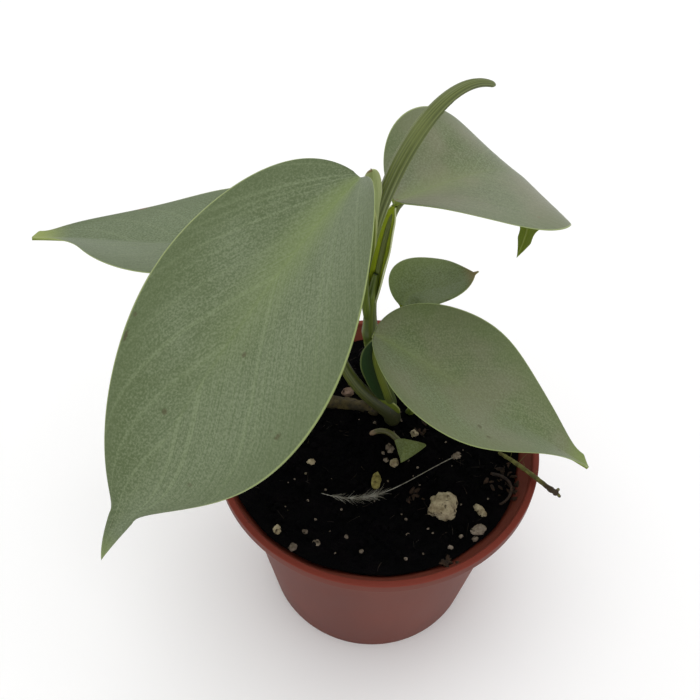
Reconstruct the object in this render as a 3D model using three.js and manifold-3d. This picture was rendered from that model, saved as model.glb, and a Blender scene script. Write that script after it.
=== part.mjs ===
// A young silver-leaved philodendron in a small plastic nursery pot.
// Millimetres, +Z up. The origin is the centre of the pot's base, and -Y is the front.

import * as THREE from "three";
import { mergeVertices } from "three/addons/utils/BufferGeometryUtils.js";
import Module from "manifold-3d";

const wasm = await Module();
wasm.setup();

// Every piece keeps this gap to its neighbours.
const clearance = 0.3;

// Driving dimensions of the pot, all outside sizes unless named otherwise.
const potHeight = 76;
const potBaseRadius = 37;
const potBodyTopRadius = 46;
const rimOverhang = 5;
const rimBandHeight = 4;
const rimLipWidth = 2.1;
const potWall = 1.2;
const potFloor = 1.8;
const flareHeight = 5.5;
const potEdgeRound = 0.6;
const drainHoleCount = 6;
const drainHoleRadius = 3.5;
const drainHoleCircleRadius = 24;
const potSegments = 64;

// Soil: how far its surface lies below the rim, its dips, and its mound round the stem.
const soilBelowRim = 4.5;
const soilDip = 0.8;
const soilMound = 1;
const soilMoundRadius = 22;

// The soil lies higher against one side of the rim: by how much, towards where, from which share.
const soilBank = 3.1;
const soilBankTurn = -130;
const soilBankStart = 0.45;
const soilSectors = 40;
const soilRings = 8;
const soilWallRings = 4;

// Stem: its radius at its foot and at the top, how far down it goes and where it leaves the soil.
const stemFootRadius = 3;
const stemTopRadius = 2;
const stemNodeSwell = 0.25;
const stemNodeCount = 5;
const stemDepth = 28;
const stemX = 6;
const stemY = 11;

// Leaves: thickness on the midrib and at the margin, and radius of the midrib at both ends.
const bladeThickness = 0.9;
const marginThickness = 0.5;
const midribBaseRadius = 1.15;
const midribTipRadius = 0.4;
const sheathWall = 0.6;
const bladeRings = 16;
const bladeColumns = 8;

// The rolled new leaf, the old cutting, the basal shoot and the roots.
const rolledLeafRadius = 1.9;
const rolledLeafTipRadius = 0.45;
const cuttingRadius = 2.2;
const shootRadius = 1.7;
const buriedRootRadius = 1.1;
const buriedRootTipRadius = 0.5;

// A loose grain sinks by this share of its height, and its lumps are this share of its size.
const grainSink = 0.35;
const grainRoughness = 0.12;

const rimOuterRadius = potBodyTopRadius + rimOverhang;
const mouthRadius = rimOuterRadius - rimLipWidth;
const flareFoot = potHeight - flareHeight;
const soilLevel = potHeight - soilBelowRim;
const soilFloor = potFloor + clearance;

const leafGreen = { color: 0x6f7f58, roughness: 0.62, metalness: 0 };
const stemGreen = { color: 0x6c7a2c, roughness: 0.55, metalness: 0 };
const rootTan = { color: 0x7b6a3a, roughness: 0.8, metalness: 0 };
const perliteWhite = { color: 0xc9bfae, roughness: 0.9, metalness: 0 };
const terracotta = { color: 0x86463a, roughness: 0.55, metalness: 0 };
const darkSoil = { color: 0x14110f, roughness: 0.95, metalness: 0 };

// A Bezier curve of any degree through de Casteljau's construction.
class Bezier extends THREE.Curve {
  constructor(points) {
    super();
    this.points = points.map((p) => new THREE.Vector3(...p));
  }

  getPoint(t, target = new THREE.Vector3()) {
    let row = this.points.map((p) => p.clone());
    while (row.length > 1) {
      row = row.slice(1).map((p, i) => row[i].clone().lerp(p, t));
    }
    return target.copy(row[0]);
  }
}

function mix(a, b, t) {
  return a + (b - a) * t;
}

function clamp01(value) {
  return Math.min(1, Math.max(0, value));
}

// Turns points and triangles into a solid whose faces point outwards.
function solidFromTriangles(points, triangles) {
  const flat = points.flatMap((p) => [p.x, p.y, p.z]);
  const geometry = new THREE.BufferGeometry();
  geometry.setAttribute("position", new THREE.Float32BufferAttribute(flat, 3));
  let volume = 0;
  for (const [a, b, c] of triangles) {
    volume += points[a].dot(points[b].clone().cross(points[c]));
  }
  const outward = volume > 0 ? triangles : triangles.map(([a, b, c]) => [a, c, b]);
  geometry.setIndex(outward.flat());
  return solidFromGeometry(geometry);
}

function solidFromGeometry(geometry) {
  const bare = geometry.clone();
  bare.deleteAttribute("normal");
  bare.deleteAttribute("uv");
  const merged = mergeVertices(bare, 1e-4);
  const mesh = new wasm.Mesh({
    numProp: 3,
    vertProperties: merged.attributes.position.array,
    triVerts: new Uint32Array(merged.index.array),
  });
  return new wasm.Manifold(mesh);
}

function geometryFromSolid(solid) {
  const mesh = solid.getMesh();
  const geometry = new THREE.BufferGeometry();
  geometry.setAttribute("position", new THREE.BufferAttribute(mesh.vertProperties, 3));
  geometry.setIndex(new THREE.BufferAttribute(mesh.triVerts, 1));
  return geometry;
}

// Joins rings of equal length into one closed body, with a fan on each end.
function loftRings(rings) {
  const count = rings[0].length;
  const points = rings.flat();
  const triangles = [];
  for (let i = 0; i + 1 < rings.length; i++) {
    for (let j = 0; j < count; j++) {
      const a = i * count + j;
      const b = i * count + ((j + 1) % count);
      triangles.push([a, b, b + count], [a, b + count, a + count]);
    }
  }
  const ends = [0, rings.length - 1];
  for (const end of ends) {
    const centre = new THREE.Vector3();
    rings[end].forEach((p) => centre.addScaledVector(p, 1 / count));
    const hub = points.push(centre) - 1;
    for (let j = 0; j < count; j++) {
      const a = end * count + j;
      const b = end * count + ((j + 1) % count);
      triangles.push(end ? [a, b, hub] : [b, a, hub]);
    }
  }
  return solidFromTriangles(points, triangles);
}

// Closes a sheet that has an upper and a lower row of points at every step.
function loftSheet(rows) {
  const width = rows[0].upper.length;
  const points = rows.flatMap((row) => [...row.upper, ...row.lower]);
  const upper = (i, j) => i * 2 * width + j;
  const lower = (i, j) => upper(i, j) + width;
  const triangles = [];
  const quad = (a, b, c, d) => triangles.push([a, b, c], [a, c, d]);
  for (let i = 0; i + 1 < rows.length; i++) {
    for (let j = 0; j + 1 < width; j++) {
      quad(upper(i, j), upper(i, j + 1), upper(i + 1, j + 1), upper(i + 1, j));
      quad(lower(i, j), lower(i + 1, j), lower(i + 1, j + 1), lower(i, j + 1));
    }
    const last = width - 1;
    quad(upper(i, 0), upper(i + 1, 0), lower(i + 1, 0), lower(i, 0));
    quad(upper(i, last), lower(i, last), lower(i + 1, last), upper(i + 1, last));
  }
  const end = rows.length - 1;
  for (let j = 0; j + 1 < width; j++) {
    quad(upper(0, j), lower(0, j), lower(0, j + 1), upper(0, j + 1));
    quad(upper(end, j), upper(end, j + 1), lower(end, j + 1), lower(end, j));
  }
  return solidFromTriangles(points, triangles);
}

// A round closed tube along a curve. radiusAt gives its radius at each fraction of the curve.
function tubeAlong(curve, radiusAt, steps, sides) {
  const frames = curve.computeFrenetFrames(steps, false);
  const rings = [];
  for (let i = 0; i <= steps; i++) {
    const t = i / steps;
    const centre = curve.getPointAt(t);
    const ring = [];
    for (let j = 0; j < sides; j++) {
      const angle = (2 * Math.PI * j) / sides;
      const point = centre.clone();
      point.addScaledVector(frames.normals[i], Math.cos(angle) * radiusAt(t));
      point.addScaledVector(frames.binormals[i], Math.sin(angle) * radiusAt(t));
      ring.push(point);
    }
    rings.push(ring);
  }
  return loftRings(rings);
}

function taper(start, end, roundedEnd = 0.08) {
  return (t) => mix(start, end, t) * Math.sqrt(clamp01((1.02 - t) / roundedEnd));
}

// Half width of a blade at fraction t of its midrib, with 1 at its widest, ending in a drip tip.
function bladeProfile(shape) {
  const body = (t) => {
    const rest = 1 - Math.pow(Math.min(t / shape.bodyEnd, 1), shape.fullness);
    return Math.pow(t, shape.baseRoundness) * Math.pow(rest, shape.taper);
  };
  let widest = 0;
  for (let i = 0; i <= 200; i++) {
    widest = Math.max(widest, body(i / 200));
  }
  return (t) => {
    const tail = shape.tipWidth * clamp01((1 - t) / (1 - shape.bodyEnd)) * clamp01(t / 0.3);
    return Math.cbrt(Math.pow(body(t) / widest, 3) + Math.pow(tail, 3));
  };
}

// The upper and lower skin of a blade at every step, from its midrib curve and facing directions.
function bladeRows(leaf, growth) {
  const [bladeStart, bladeEnd] = [0.004, 0.995];
  const midrib = new Bezier(leaf.midrib);
  const facing = new Bezier(leaf.facing);
  const profile = bladeProfile(leaf.shape);
  const rows = [];
  for (let i = 0; i <= bladeRings; i++) {
    const t = mix(bladeStart, bladeEnd, i / bladeRings);
    const along = midrib.getTangent(t);
    const face = facing.getPoint(t);
    const up = face.addScaledVector(along, -face.dot(along)).normalize();
    const side = along.clone().cross(up);
    const fold = mix(leaf.fold[0], leaf.fold[1], t);
    const cup = mix(leaf.cup[0], leaf.cup[1], t);
    const lobe = leaf.lobe * profile(t) * Math.pow(clamp01(1 - t / 0.3), 1.5);
    const row = { upper: [], lower: [] };
    for (let j = 0; j <= bladeColumns; j++) {
      const s = (2 * j) / bladeColumns - 1;
      const reach = Math.abs(s);
      const half = (s > 0 ? leaf.rightWidth : leaf.leftWidth) * profile(t) + growth;
      const thickness = mix(bladeThickness, marginThickness, reach) / 2 + growth;
      const middle = midrib.getPoint(t);
      middle.addScaledVector(side, s * half);
      middle.addScaledVector(up, half * (fold * reach + cup * reach * reach));
      middle.addScaledVector(along, -lobe * reach * reach);
      row.upper.push(middle.clone().addScaledVector(up, thickness));
      row.lower.push(middle.clone().addScaledVector(up, -thickness));
    }
    rows.push(row);
  }
  return rows;
}

// The winged foot of a petiole: an open channel whose back wall follows the petiole.
function sheathAlong(spine, sheath, growth) {
  const steps = 10;
  const columns = 8;
  const smallestRadius = 0.15;
  const opening = new THREE.Vector3(...sheath.opensTowards);
  const rows = [];
  for (let i = 0; i <= steps; i++) {
    const t = mix(sheath.from, sheath.to, i / steps);
    const along = spine.getTangentAt(t);
    const front = opening.clone().addScaledVector(along, -opening.dot(along)).normalize();
    const side = along.clone().cross(front);
    const inner = sheath.innerRadius * Math.sin(Math.PI * mix(0.15, 0.9, i / steps)); // narrow ends
    const wrap = sheath.wrap * mix(1, 0.6, i / steps);
    const centre = spine.getPointAt(t).addScaledVector(front, inner + sheathWall / 2);
    const row = { upper: [], lower: [] };
    for (let j = 0; j <= columns; j++) {
      const angle = mix(-wrap, wrap, j / columns) + Math.PI;
      const out = front.clone().multiplyScalar(Math.cos(angle));
      out.addScaledVector(side, Math.sin(angle));
      row.upper.push(centre.clone().addScaledVector(out, inner + sheathWall + growth));
      row.lower.push(centre.clone().addScaledVector(out, Math.max(smallestRadius, inner - growth)));
    }
    rows.push(row);
  }
  return loftSheet(rows);
}

// The midrib's ridge hangs just below the blade, and the petiole runs on into it.
function ridgePoints(leaf) {
  const ridgeDepth = 0.7;
  const midrib = new Bezier(leaf.midrib);
  const facing = new Bezier(leaf.facing);
  return [0, 0.18, 0.36, 0.54, 0.72, 0.9].map((t) => {
    const along = midrib.getTangent(t);
    const face = facing.getPoint(t);
    const up = face.addScaledVector(along, -face.dot(along)).normalize();
    const drop = mix(midribBaseRadius, midribTipRadius, t) * ridgeDepth;
    return midrib.getPoint(t).addScaledVector(up, -drop);
  });
}

// A whole leaf: blade, midrib, petiole and, where it has one, the sheath at the petiole's foot.
function leafSolid(leaf, growth = 0) {
  const ridge = ridgePoints(leaf);
  const ridgeRadius = taper(midribBaseRadius + growth, midribTipRadius + growth);
  const overlapEnd = ridge[0].clone().lerp(ridge[1], 0.25).toArray();
  const petiole = new Bezier([...leaf.petiole, ridge[0].toArray(), overlapEnd]);
  const petioleRadiusAt = (t) => leaf.stalkRadius * mix(1.2, 1, t) + growth;
  let solid = loftSheet(bladeRows(leaf, growth));
  solid = solid.add(tubeAlong(new THREE.CatmullRomCurve3(ridge), ridgeRadius, 12, 6));
  solid = solid.add(tubeAlong(petiole, petioleRadiusAt, 14, 8));
  if (leaf.sheath) {
    solid = solid.add(sheathAlong(petiole, leaf.sheath, growth));
  }
  if (leaf.ligule) {
    solid = solid.add(loftSheet(bladeRows(leaf.ligule, growth)));
  }
  return solid;
}

// Pot: one revolved wall with a flared mouth and a rim band, and round drain holes in its floor.
function innerWallRadius(z) {
  const slope = (potBodyTopRadius - potBaseRadius) / (potHeight - rimBandHeight);
  const bodyRadius = potBaseRadius - potWall + slope * Math.min(z, flareFoot);
  return mix(bodyRadius, mouthRadius, clamp01((z - flareFoot) / (flareHeight - potEdgeRound)));
}

function buildPot() {
  const bandFoot = potHeight - rimBandHeight;
  const outline = [
    [0, 0],
    [potBaseRadius - potEdgeRound, 0],
    [potBaseRadius, potEdgeRound],
    [potBodyTopRadius, bandFoot - potEdgeRound],
    [rimOuterRadius - potEdgeRound, bandFoot],
    [rimOuterRadius, bandFoot + potEdgeRound],
    [rimOuterRadius, potHeight - potEdgeRound],
    [rimOuterRadius - potEdgeRound, potHeight],
    [mouthRadius + potEdgeRound, potHeight],
    [mouthRadius, potHeight - potEdgeRound],
    [innerWallRadius(flareFoot), flareFoot],
    [innerWallRadius(potFloor), potFloor],
    [0, potFloor],
  ];
  const profile = outline.map(([r, z]) => new THREE.Vector2(r, z));
  const wall = new THREE.LatheGeometry(profile, potSegments);
  wall.rotateX(Math.PI / 2);
  let pot = solidFromGeometry(wall);
  for (let i = 0; i < drainHoleCount; i++) {
    const angle = (2 * Math.PI * i) / drainHoleCount;
    const hole = new THREE.CylinderGeometry(drainHoleRadius, drainHoleRadius, potFloor * 3, 20);
    hole.rotateX(Math.PI / 2);
    hole.translate(
      drainHoleCircleRadius * Math.cos(angle),
      drainHoleCircleRadius * Math.sin(angle),
      potFloor / 2,
    );
    pot = pot.subtract(solidFromGeometry(hole));
  }
  return pot;
}

// Height of the soil surface: a slight mound round the stem and shallow dips elsewhere.
function soilHeight(x, y) {
  const fromStem = Math.hypot(x - stemX, y - stemY) / soilMoundRadius;
  const mound = soilMound * Math.exp(-fromStem * fromStem);
  const dips = Math.sin(x * 0.31 + 1) * Math.cos(y * 0.27 - 0.6) + Math.sin((x + y) * 0.17);
  const outwards = clamp01((Math.hypot(x, y) / rimOuterRadius - soilBankStart) * 2);
  const towards = 0.5 + 0.5 * Math.cos(Math.atan2(y, x) - THREE.MathUtils.degToRad(soilBankTurn));
  const bank = soilBank * Math.pow(outwards * towards, 2);
  return soilLevel + mound + soilDip * 0.5 * dips + bank;
}

function buildSoil() {
  const points = [];
  const triangles = [];
  const edgeZ = [];
  for (let j = 0; j < soilSectors; j++) {
    const angle = (2 * Math.PI * j) / soilSectors;
    const reach = innerWallRadius(soilLevel);
    edgeZ.push(soilHeight(reach * Math.cos(angle), reach * Math.sin(angle)));
  }
  // The flats of the pot's inside are nearer than its corners, by the cosine of half a facet.
  const facet = Math.cos(Math.PI / potSegments);
  const edgeClearance = 1.4 * clearance; // across the slope of the flared mouth
  const addRing = (radiusAt, heightAt) => {
    for (let j = 0; j < soilSectors; j++) {
      const angle = (2 * Math.PI * j) / soilSectors;
      const radius = radiusAt(j);
      const x = radius * Math.cos(angle);
      const y = radius * Math.sin(angle);
      points.push(new THREE.Vector3(x, y, heightAt(j, x, y)));
    }
  };
  const wallTop = Math.min(flareFoot - clearance, soilLevel - 2 * soilDip);
  for (let i = 0; i <= soilWallRings; i++) {
    const z = mix(soilFloor, wallTop, i / soilWallRings);
    addRing(() => innerWallRadius(z) * facet - clearance, () => z);
  }
  const kneeZ = (j) => Math.min(flareFoot, edgeZ[j] - clearance);
  addRing((j) => innerWallRadius(kneeZ(j)) * facet - clearance, kneeZ);
  const edgeRadius = (j) => innerWallRadius(edgeZ[j]) * facet - edgeClearance;
  addRing(edgeRadius, (j) => edgeZ[j]);
  for (let i = 1; i < soilRings; i++) {
    const share = 1 - i / soilRings;
    addRing((j) => edgeRadius(j) * share, (j, x, y) => soilHeight(x, y));
  }
  const ringCount = points.length / soilSectors;
  for (let i = 0; i + 1 < ringCount; i++) {
    for (let j = 0; j < soilSectors; j++) {
      const a = i * soilSectors + j;
      const b = i * soilSectors + ((j + 1) % soilSectors);
      triangles.push([a, b, b + soilSectors], [a, b + soilSectors, a + soilSectors]);
    }
  }
  const bottom = points.push(new THREE.Vector3(0, 0, soilFloor)) - 1;
  const top = points.push(new THREE.Vector3(0, 0, soilHeight(0, 0))) - 1;
  const last = (ringCount - 1) * soilSectors;
  for (let j = 0; j < soilSectors; j++) {
    const next = (j + 1) % soilSectors;
    triangles.push([next, j, bottom], [last + j, last + next, top]);
  }
  return solidFromTriangles(points, triangles);
}

// Places on the soil are given by x and y, and their height follows the soil surface.
function onSoil(x, y, above = 0) {
  return [x, y, soilHeight(x, y) + above];
}

// A place by its turn about the pot's axis and its distance inside (-) or outside (+) the rim.
function byRim(degrees, beyondRim, above = 0) {
  const angle = THREE.MathUtils.degToRad(degrees);
  const radius = rimOuterRadius + beyondRim;
  return onSoil(radius * Math.cos(angle), radius * Math.sin(angle), above);
}

// A place by its turn about the pot's axis and its share of the way from there to the rim.
function acrossSoil(degrees, share, above = 0) {
  return byRim(degrees, (share - 1) * rimOuterRadius, above);
}

// The plant is laid out in heights above the soil.
function aboveSoil(points) {
  return points.map(([x, y, height]) => [x, y, soilLevel + height]);
}

const stemPath = new Bezier(
  aboveSoil([
    [stemX, stemY, -stemDepth],
    [stemX + 0.5, stemY, 4],
    [stemX - 3, stemY + 1, 16],
    [stemX - 12.5, stemY + 1, 32],
    [stemX - 10, stemY, 48],
    [stemX - 8.6, stemY - 0.2, 64],
  ]),
);

function stemSolid(growth = 0) {
  const radiusAt = (t) => {
    const node = Math.pow(Math.sin(Math.PI * stemNodeCount * t), 16);
    const plain = mix(stemFootRadius, stemTopRadius, t) + stemNodeSwell * node;
    return plain * Math.sqrt(clamp01((1.03 - t) / 0.05)) + growth;
  };
  return tubeAlong(stemPath, radiusAt, 36, 12);
}

// Each leaf: midrib and petiole in heights above the soil, the way it faces, widths and shape.
const leaves = {
  front_leaf: {
    midrib: [[-7.4, -1.4, 104.1], [-23.5, -14.7, 95.3], [-58.2, -59.6, 62.2], [-68, -59.3, 33.5]],
    facing: [[-0.49, 0.03, 0.87], [-0.48, -0.475, 1.21], [0.05, -1, -0.05]],
    leftWidth: 31,
    rightWidth: 27,
    shape: { baseRoundness: 0.54, fullness: 1.86, taper: 1.02, bodyEnd: 0.84, tipWidth: 0.1 },
    fold: [0.35, -0.07],
    cup: [0.1, -0.22],
    lobe: 2,
    petiole: [[-4.4, 10.4, 47], [-6.6, 9, 58], [-6.5, 4, 80], [-6, 1.5, 94]],
    stalkRadius: 1.3,
    sheath: { from: 0.3, to: 0.94, innerRadius: 2.3, wrap: 1.7, opensTowards: [0.9, 0.5, 0] },
    ligule: {
      midrib: [[-4.8, 2.8, 80], [-3.2, 1.6, 92], [-5.3, 0.6, 105.2]],
      facing: [[0.35, -0.9, 0.2], [0.3, -0.9, 0.3]],
      leftWidth: 2.3,
      rightWidth: 2.3,
      shape: { baseRoundness: 0.4, fullness: 9, taper: 0.5, bodyEnd: 0.985, tipWidth: 0.05 },
      fold: [-0.4, -0.25],
      cup: [0, 0],
      lobe: 0,
    },
  },
  left_back_leaf: {
    midrib: [[-15, 19, 80.5], [-48, 9, 67.5], [-75, 36, 53.5], [-99.5, 23, 63.5]],
    facing: [[-0.4, 0, 0.9], [-0.25, 0.3, 1], [0.1, 0.45, 0.9]],
    leftWidth: 24.2,
    rightWidth: 22.2,
    shape: { baseRoundness: 0.47, fullness: 2.2, taper: 0.94, bodyEnd: 0.97, tipWidth: 0.17 },
    fold: [0.2, 0.2],
    cup: [0, 0.05],
    lobe: 3,
    petiole: [[5.2, 7.5, 2], [5, 4.5, 14], [-1, 3.8, 19], [-22, 4, 18], [-22, 14, 50], [-12, 19, 76]],
    stalkRadius: 1.5,
    sheath: { from: 0.02, to: 0.3, innerRadius: 2.5, wrap: 1.7, opensTowards: [0.6, 0.9, 0.3] },
  },
  upper_right_leaf: {
    midrib: [[0.7, 10, 88.7], [18, 21, 87.5], [37, 34, 92.5], [48, 40, 73.5], [41, 35, 49.5]],
    facing: [[0, 0, 0.65], [1.2, 0.4, 0.7], [0.4, 0.7, 0]],
    leftWidth: 23,
    rightWidth: 28.1,
    shape: { baseRoundness: 0.54, fullness: 1.38, taper: 1.25, bodyEnd: 0.93, tipWidth: 0.09 },
    fold: [0.5, -0.45],
    cup: [0, 0],
    lobe: 0,
    petiole: [[-3.6, 12, 48], [-1.6, 12.5, 66], [-0.2, 10.5, 80]],
    stalkRadius: 1,
    sheath: { from: 0, to: 0.88, innerRadius: 2.4, wrap: 1.8, opensTowards: [-0.5, -0.85, 0] },
  },
  small_leaf: {
    midrib: [[6, 19, 43.5], [8, 28, 45.5], [17, 21, 44.5], [27.8, 24, 53.7]],
    facing: [[0.3, -0.2, 0.8], [0.25, 0, 0.8], [0.35, 0, 0.9]],
    leftWidth: 12,
    rightWidth: 9.2,
    shape: { baseRoundness: 0.53, fullness: 2.3, taper: 0.8, bodyEnd: 0.97, tipWidth: 0.05 },
    fold: [0.25, 0.1],
    cup: [0, 0],
    lobe: 0,
    petiole: [[0, 13.5, 20], [3.5, 15, 27], [6, 17, 36]],
    stalkRadius: 0.9,
  },
  lower_right_leaf: {
    midrib: [[-3, 0, 51.5], [17, -5, 42.5], [36, -12, 30.5], [59, -22, 21.5]],
    facing: [[0.4, -0.1, 0.9], [0.4, -0.5, 0.9], [0.45, 0.35, 0.8]],
    leftWidth: 19.1,
    rightWidth: 22,
    shape: { baseRoundness: 0.5, fullness: 1.35, taper: 0.95, bodyEnd: 0.97, tipWidth: 0.17 },
    fold: [0.25, 0.3],
    cup: [0.05, 0.15],
    lobe: 1,
    petiole: [[4.5, 7, 9], [1.5, 4.5, 25], [-5, 2.5, 42]],
    stalkRadius: 1.2,
    sheath: { from: 0.03, to: 0.88, innerRadius: 3.6, wrap: 1.5, opensTowards: [-0.8, 0.6, 0.2] },
  },
};

for (const leaf of Object.values(leaves)) {
  leaf.midrib = aboveSoil(leaf.midrib);
  leaf.petiole = aboveSoil(leaf.petiole);
  if (leaf.ligule) {
    leaf.ligule.midrib = aboveSoil(leaf.ligule.midrib);
  }
}

// The newest leaf is still rolled: a long spindle that ends in a bent thread.
const rolledLeafPath = new Bezier(
  aboveSoil([
    [-4.2, 6, 77],
    [-3.8, 3, 90],
    [-2, 2.5, 99],
    [3.6, 6, 115],
    [12.4, 9, 125],
    [22, 15, 118],
  ]),
);

function rolledLeafSolid(growth = 0) {
  const radiusAt = (t) => {
    const belly = Math.pow(Math.sin(Math.PI * mix(0.08, 0.98, t)), 0.8);
    const radius = mix(rolledLeafTipRadius, rolledLeafRadius, belly);
    return radius * (t > 0.98 ? 0.5 : 1) + growth;
  };
  return tubeAlong(rolledLeafPath, radiusAt, 26, 10);
}

// Old piece of stem that the plant was raised from, lying half sunk in the soil.
const cuttingPath = new Bezier([
  onSoil(stemX - 25, stemY + 5.5, 0.4),
  onSoil(stemX - 18, stemY + 4, 0.9),
  onSoil(stemX - 11, stemY + 2.6, 1),
  onSoil(stemX - 4.5, stemY + 1.2, 0.6),
]);

function cuttingSolid(growth = 0) {
  const radiusAt = (t) => cuttingRadius * (1 + 0.1 * Math.sin(9 * t)) + growth;
  return tubeAlong(cuttingPath, radiusAt, 12, 12);
}

const shootPath = new Bezier([
  onSoil(stemX + 4.4, stemY + 1.6, -3),
  onSoil(stemX + 5, stemY + 1, 2),
  onSoil(stemX + 6.4, stemY, 4.5),
]);

function shootSolid(growth = 0) {
  return tubeAlong(shootPath, (t) => shootRadius * Math.sqrt(clamp01(1.05 - t)) + growth, 8, 8);
}

// A small curled bract that lies on the soil in front of the stem.
const bract = {
  midrib: [onSoil(7.6, -8.1, 0.9), onSoil(8.2, -4.6, 1.8), onSoil(8.6, -1.6, 4.2)],
  facing: [[0.2, -0.6, 0.8], [0, -0.7, 0.7]],
  leftWidth: 3.2,
  rightWidth: 6.3,
  shape: { baseRoundness: 0.9, fullness: 14, taper: 0.4, bodyEnd: 0.995, tipWidth: 0.1 },
  fold: [0.35, 0.5],
  cup: [0.1, 0.3],
  lobe: 0,
  stalk: [onSoil(-2.3, 2.2, 1), onSoil(0.6, 3.4, 2), onSoil(4.4, 2.8, 3.6), onSoil(8.2, -3.9, 2.6)],
  stalkRadius: [0.8, 1.05],
};

function bractSolid(growth = 0) {
  const radiusAt = (t) => mix(bract.stalkRadius[0], bract.stalkRadius[1], t) + growth;
  const stalk = tubeAlong(new Bezier(bract.stalk), radiusAt, 10, 8);
  return loftSheet(bladeRows(bract, growth)).add(stalk);
}

// Roots on the surface follow the soil, and one climbs over the rim with a clear gap.
const overRim = potHeight - soilLevel + clearance;
const roots = {
  overhanging_root: {
    path: [
      byRim(-4, -12, 0.2),
      byRim(-11, -8.5, 4.6),
      byRim(-17, -2.6, overRim + 2.6),
      byRim(-22, 3.8, overRim + 2.6),
      byRim(-20, 6.4, overRim - 0.4),
    ],
    radius: [0.6, 0.75],
    steps: 20,
    sides: 8,
  },
  rim_root: {
    path: [
      byRim(-17, -14, 0.4),
      byRim(-16, -5.5, 2.4),
      byRim(-27, -4.5, 2),
      byRim(-31, -8, 0.5),
    ],
    radius: [0.5, 0.35],
    steps: 14,
    sides: 8,
  },
  surface_fibre: {
    path: [
      acrossSoil(-131, 0.51, 0.8),
      acrossSoil(-110, 0.47, 1.4),
      acrossSoil(-85, 0.45, 1.2),
      acrossSoil(-57, 0.33, 1.4),
      acrossSoil(-12, 0.49, 0.9),
    ],
    radius: [0.3, 0.4],
    steps: 20,
    sides: 6,
  },
};

// Buried roots leave the stem's foot and end at a share of the way to the pot's wall and floor.
const buriedRoots = [
  { degrees: 55, reach: 0.75, depth: 0.82 },
  { degrees: 150, reach: 0.6, depth: 0.7 },
  { degrees: 245, reach: 0.7, depth: 0.85 },
  { degrees: 330, reach: 0.8, depth: 0.66 },
];

buriedRoots.forEach(({ degrees, reach, depth }, i) => {
  const angle = THREE.MathUtils.degToRad(degrees);
  const endZ = mix(soilLevel, soilFloor, depth);
  const radius = reach * innerWallRadius(endZ);
  const start = stemPath.getPoint(0.12 + 0.03 * i);
  const end = new THREE.Vector3(radius * Math.cos(angle), radius * Math.sin(angle), endZ);
  const bend = start.clone().lerp(end, 0.55).setZ(start.z);
  roots["buried_root_" + (i + 1)] = {
    path: [start.toArray(), bend.toArray(), end.toArray()],
    radius: [buriedRootRadius, buriedRootTipRadius],
    steps: 8,
    sides: 6,
  };
});

function rootSolid(root, growth = 0) {
  const path = new Bezier(root.path);
  const radiusAt = (t) => mix(root.radius[0], root.radius[1], t) + growth;
  return tubeAlong(path, radiusAt, root.steps, root.sides);
}

// Loose grains on the soil: turn and share of the way to the rim, three half sizes, own turn.
const grains = {
  perlite_large: { at: acrossSoil(-50, 0.6), half: [4.2, 3.6, 3.2], turn: 0.4, detail: 2 },
  slow_release_pellet: { at: acrossSoil(-91, 0.284), half: [1.5, 3, 1.4], turn: -0.15, detail: 1 },
  perlite_1: { at: acrossSoil(16, 0.246), half: [1.3, 1.2, 1.1], turn: 0.2, detail: 1 },
  perlite_2: { at: acrossSoil(-32, 0.096), half: [1.2, 1.7, 1], turn: 0.5, detail: 1 },
  perlite_3: { at: acrossSoil(-54, 0.184), half: [1.7, 1.3, 1.1], turn: 1.1, detail: 1 },
  perlite_4: { at: acrossSoil(-10, 0.504), half: [1.7, 1.2, 1], turn: 0.5, detail: 1 },
  perlite_5: { at: acrossSoil(-38, 0.77), half: [1.2, 2.4, 1], turn: 0.6, detail: 1 },
  perlite_6: { at: acrossSoil(-46, 0.842), half: [2.3, 1.6, 1], turn: 0.5, detail: 1 },
  perlite_7: { at: acrossSoil(-131, 0.872), half: [1.1, 1.4, 1], turn: 0.2, detail: 1 },
  perlite_8: { at: acrossSoil(-116, 0.802), half: [1.3, 1.1, 0.9], turn: 0.8, detail: 1 },
  perlite_9: { at: acrossSoil(-159, 0.435), half: [1.1, 1.3, 0.9], turn: 1.4, detail: 1 },
  bark_chip: { at: onSoil(stemX - 15.6, stemY + 8.4, 0.3), half: [2, 1.7, 1.5], turn: 0.2, detail: 1 },
};

function grainSolid(grain, growth = 0) {
  const ball = new THREE.IcosahedronGeometry(1, grain.detail);
  const corners = ball.attributes.position;
  const half = new THREE.Vector3(...grain.half);
  for (let i = 0; i < corners.count; i++) {
    const p = new THREE.Vector3().fromBufferAttribute(corners, i);
    const lump = 1 + grainRoughness * Math.sin(5 * p.x + 2 * p.z) * Math.cos(4 * p.y - p.z);
    const outer = p.clone().multiply(half).multiplyScalar(lump).addScaledVector(p, growth);
    corners.setXYZ(i, outer.x, outer.y, outer.z);
  }
  ball.rotateZ(grain.turn);
  const [x, y, ground] = grain.at;
  ball.translate(x, y, ground + grain.half[2] * (1 - 2 * grainSink));
  return solidFromGeometry(ball);
}

// Pieces in the order in which they keep their shape. Each one is cut clear of those before it.
const pieces = [];

function addPiece(name, build, colours) {
  pieces.push({ name, build, colours });
}

addPiece("main_stem", stemSolid, stemGreen);
addPiece("rolled_new_leaf", rolledLeafSolid, stemGreen);
addPiece("old_stem_cutting", cuttingSolid, rootTan);
addPiece("basal_shoot", shootSolid, stemGreen);
for (const [name, leaf] of Object.entries(leaves)) {
  addPiece(name, (growth) => leafSolid(leaf, growth), leafGreen);
}
addPiece("curled_bract", bractSolid, stemGreen);
for (const [name, root] of Object.entries(roots)) {
  addPiece(name, (growth) => rootSolid(root, growth), rootTan);
}
for (const [name, grain] of Object.entries(grains)) {
  addPiece(name, (growth) => grainSolid(grain, growth), perliteWhite);
}
addPiece("potting_soil", buildSoil, darkSoil);
addPiece("nursery_pot", buildPot, terracotta);

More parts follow.
